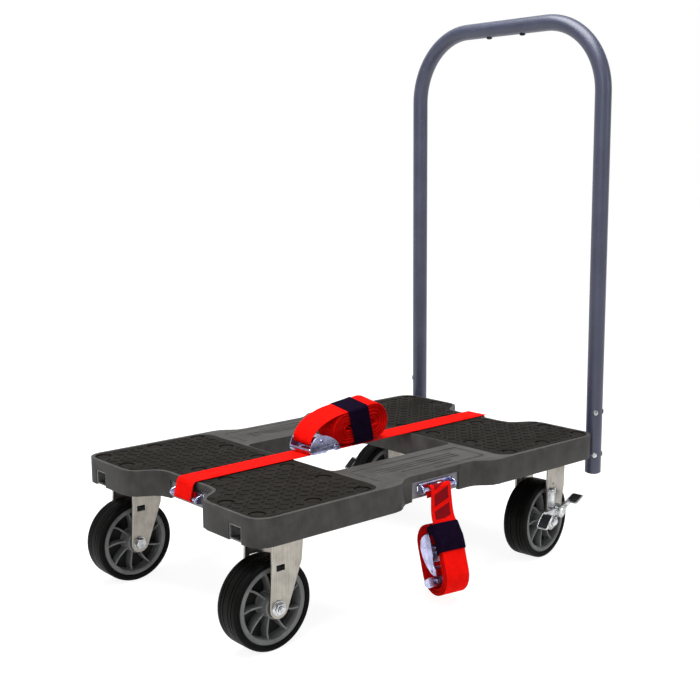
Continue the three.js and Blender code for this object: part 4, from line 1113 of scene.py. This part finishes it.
def deck_strap_short():
    """Sewn round the buckle's rear bar and the rear fitting's bar."""
    loop = from_buckle(arc((24, 8), LOOP - 0.4, 60, 230, 12))
    lead = from_buckle([(40, 3.2), (31, 9.4)])
    leave = from_buckle([(32, 2.0), (42, 0.7), (60, 0.7)])
    bm = bmesh.new()
    line = flowing([*lead, *loop, *leave, *strap_end(1)[::-1]], 4.0)
    length = ribbon(bm, line, STRAP["width"], STRAP["thick"], STRAP_FRAME)
    strap = piece("deck_strap_sewn", bm, "webbing", "frame", "webbing", "deck_strap_short", crease=60)
    bm = bmesh.new()
    top = STRAP["z"] + STRAP["thick"] / 2
    for x in (300, -340):
        stitches(bm, (x, 0, top), (1, 0, 0), 10, STRAP_FRAME, rows=(-21, -14, 14, 21))
    piece("deck_strap_stitches", bm, "webbing", "frame", "webbing")


def band(half_a, half_b, overlap, lift):
    """A closed loop's path with its loose end lapped over its start."""
    loop = rounded_box(half_a, half_b, 5.0)
    lapped = [(a, b - lift) for a, b in ((0.0, -half_b), (overlap * 0.5, -half_b), (overlap, -half_b - 0.4))]
    return loop + [(-half_a * 0.5, -half_b - lift * 0.4)] + lapped


def hugging(point):
    """Draws the wrap's upper half down to the roll's top, which falls away towards the buckle."""
    fall = 0.0028 * (36 - point.x) * max(0.0, point.z)
    return point - Vector((0, 0, fall))


def deck_wrap():
    """Hook-and-loop band drawn a little aslant round the deck strap's roll, lapped underneath."""
    middle = (DECK_ROLL["left"] + DECK_ROLL["right"]) / 2
    at = frame_at(STRAP_FRAME, (middle, 0, DECK_ROLL["z"]))
    loop = band(STRAP["width"] / 2 + 2.7, DECK_ROLL["outer"] + 2.1, 16.0, 2.2)
    bm = bmesh.new()
    path = [(-0.2 * b, a, b + 0.17 * a * min(1.0, (b + 38) / 20)) for a, b in loop]
    length = ribbon(bm, path, 50.0, 2.0, at, (1, 0, 0), hugging)
    node = "deck_strap_wrap"
    wrap = piece("deck_wrap_band", bm, "hook_and_loop", "frame", "hook_and_loop", node, crease=60)


HANGING_FRAME = frame_at(DECK, (HANGING["x"], 0, 0))
ROLL_CENTRE = (HANGING_ROLL["shift"], HANGING["y"], HANGING["z"])
ROLL_PLACE = frame_at(HANGING_FRAME, ROLL_CENTRE, HANGING_ROLL["yaw"])
ROLL_FRAME = frame_at(ROLL_PLACE, turn=HANGING_ROLL["tilt"], axis="X")


def hanging_strap():
    """Looped over the fitting's bar, down on to the roll's outboard side and wound inward."""
    bar_y = -FITTING["y"] - FITTING["bar_out"]
    drop = [(bar_y + LOOP, 190), *arc((bar_y, FITTING["bar_z"]), LOOP, 0, 180, 12), (bar_y - LOOP, 188)]
    drop += [(bar_y - LOOP, 170), (HANGING["y"] - 0.5, 157), (HANGING["y"] - 4.5, 146.5)]
    to_roll = ROLL_FRAME.inverted() @ HANGING_FRAME
    straight = frame_at(None, (0, HANGING["y"], HANGING["z"]))
    straight = straight @ Matrix.Rotation(HANGING_ROLL["tilt"], 4, "X")
    line = [straight.inverted() @ Vector((0, y, z)) for y, z in drop]
    line += [Vector((0, a, b)) for a, b in arc((0, HANGING["half"]), HANGING["outer"], 149, 180, 3)]
    centres = [(0.0, -HANGING["half"]), (0.0, HANGING["half"])]
    roll = wound(centres, 180, HANGING["outer"], HANGING["inner"], 1)
    line = [*flowing(line, 4.0), *[(side, a, b) for a, side, b in roll]]

    def twisted(point):
        """Square to the fitting at the top of the drop, and square to the roll where they meet."""
        share = min(1.0, max(0.0, (point.z - 60) / 60))
        return point.lerp(to_roll @ (straight @ point), share)

    bm = bmesh.new()
    across = (1, 0, 0)
    length = ribbon(bm, line, STRAP["width"], STRAP["thick"], ROLL_FRAME, across, twisted)
    finish, body = "printed_webbing", "hanging_strap"
    strap = piece("hanging_strap_wound", bm, finish, body, "webbing", "hanging_strap", crease=60)


def onto_roll(point):
    """Bends a point drawn flat, (across, along, outward), on to the hanging roll's outboard side.

    The band spreads from the outside of the roll to its core, and its upper edge stands off the roll
    to let the strap in under it.
    """
    across, along, out = point
    depth = (HANGING["outer"] - out) / (HANGING["outer"] - HANGING["inner"])
    depth = min(1.0, max(0.0, depth))
    along = along * (1.02 + 0.5 * depth) + 9.0 + 6.0 * depth
    if along < 0:
        return Vector((across, -out, HANGING["half"] + along))
    out += (1 - depth) * 9.0 * max(0.0, (along - 16) / 20) ** 2
    angle = math.pi - along / HANGING["outer"]
    return Vector((across, out * math.cos(angle), HANGING["half"] + out * math.sin(angle)))


def hanging_wrap():
    """Hook-and-loop band over the roll's outboard side, spreading towards its core."""
    middle, reach = (HANGING["outer"] + HANGING["inner"]) / 2, (HANGING["outer"] - HANGING["inner"]) / 2
    loop = band(STRAP["width"] / 2 + 2.6, reach + 1.9, 12.0, 2.2)
    bm = bmesh.new()
    path = [(a, 0, middle + b) for a, b in loop]
    length = ribbon(bm, path, 47.0, 2.0, ROLL_FRAME, warp=onto_roll)
    body, node = "hanging_strap", "hanging_strap_wrap"
    wrap = piece("hanging_wrap_band", bm, "hook_and_loop", body, "hook_and_loop", node, crease=60)


# ---------------------------------------------------------------- assembly


def build_deck():
    grip_pad("front", -1)
    grip_pad("rear", 1)
    rail_marks(-1)
    rail_marks(1)


def build_wheels():
    for name, side in (("right", -1), ("left", 1)):
        for end in ("front", "rear"):
            label = f"{end}_{name}"
            wheel(label, side)
        plate_bolts(f"front_{name}", f"fork_front_{name}")
        plate_bolts(f"rear_{name}", f"swivel_plate_rear_{name}")
        brake_pedals(f"rear_{name}", side)
        brake_housing(f"rear_{name}", side)


def build_straps():
    for name, end in (("front", -1), ("rear", 1)):
        bar_x = FITTING["x"] + FITTING["bar_out"]
        place = (end * FITTING["x"], STRAP["y"] + end * STRAP["yaw"] * bar_x, FITTING["z"])
        at = frame_at(DECK, place, 0.0 if end > 0 else math.pi)
        end_fitting(f"deck_fitting_{name}_pressed", at, "frame", f"deck_strap_fitting_{name}")
    buckle_frame("deck_buckle_pressed", DECK_BUCKLE, "frame", "deck_buckle_frame")
    cam_lever("deck_cam_toothed", DECK_BUCKLE, "deck_cam", "deck_buckle_cam")
    deck_strap_long()
    deck_strap_short()
    deck_wrap()
    anchor = frame_at(HANGING_FRAME, (0, -FITTING["y"], FITTING["z"]), -math.pi / 2)
    end_fitting("hanging_fitting_pressed", anchor, "frame", "hanging_fitting")
    hanging_strap()
    hanging_wrap()
    inner = frame_at(ROLL_FRAME, (0, -15.5, 9)) @ basis((0, 0, -1), (-1, 0, 0), (0, 1, 0))
    buckle_frame("hanging_buckle_pressed", inner, "hanging_strap", "hanging_buckle_frame")
    cam_lever("hanging_cam_toothed", inner, "hanging_cam", "hanging_buckle_cam")
    loose = frame_at(ROLL_FRAME, (0, -4, -37), math.pi / 2)
    end_fitting("hanging_loose_fitting_pressed", loose, "hanging_strap", "hanging_loose_fitting")


make_camera()
make_studio()
dress_cad_nodes()
build_deck()
build_wheels()
push_bar()
post_screws()
build_straps()
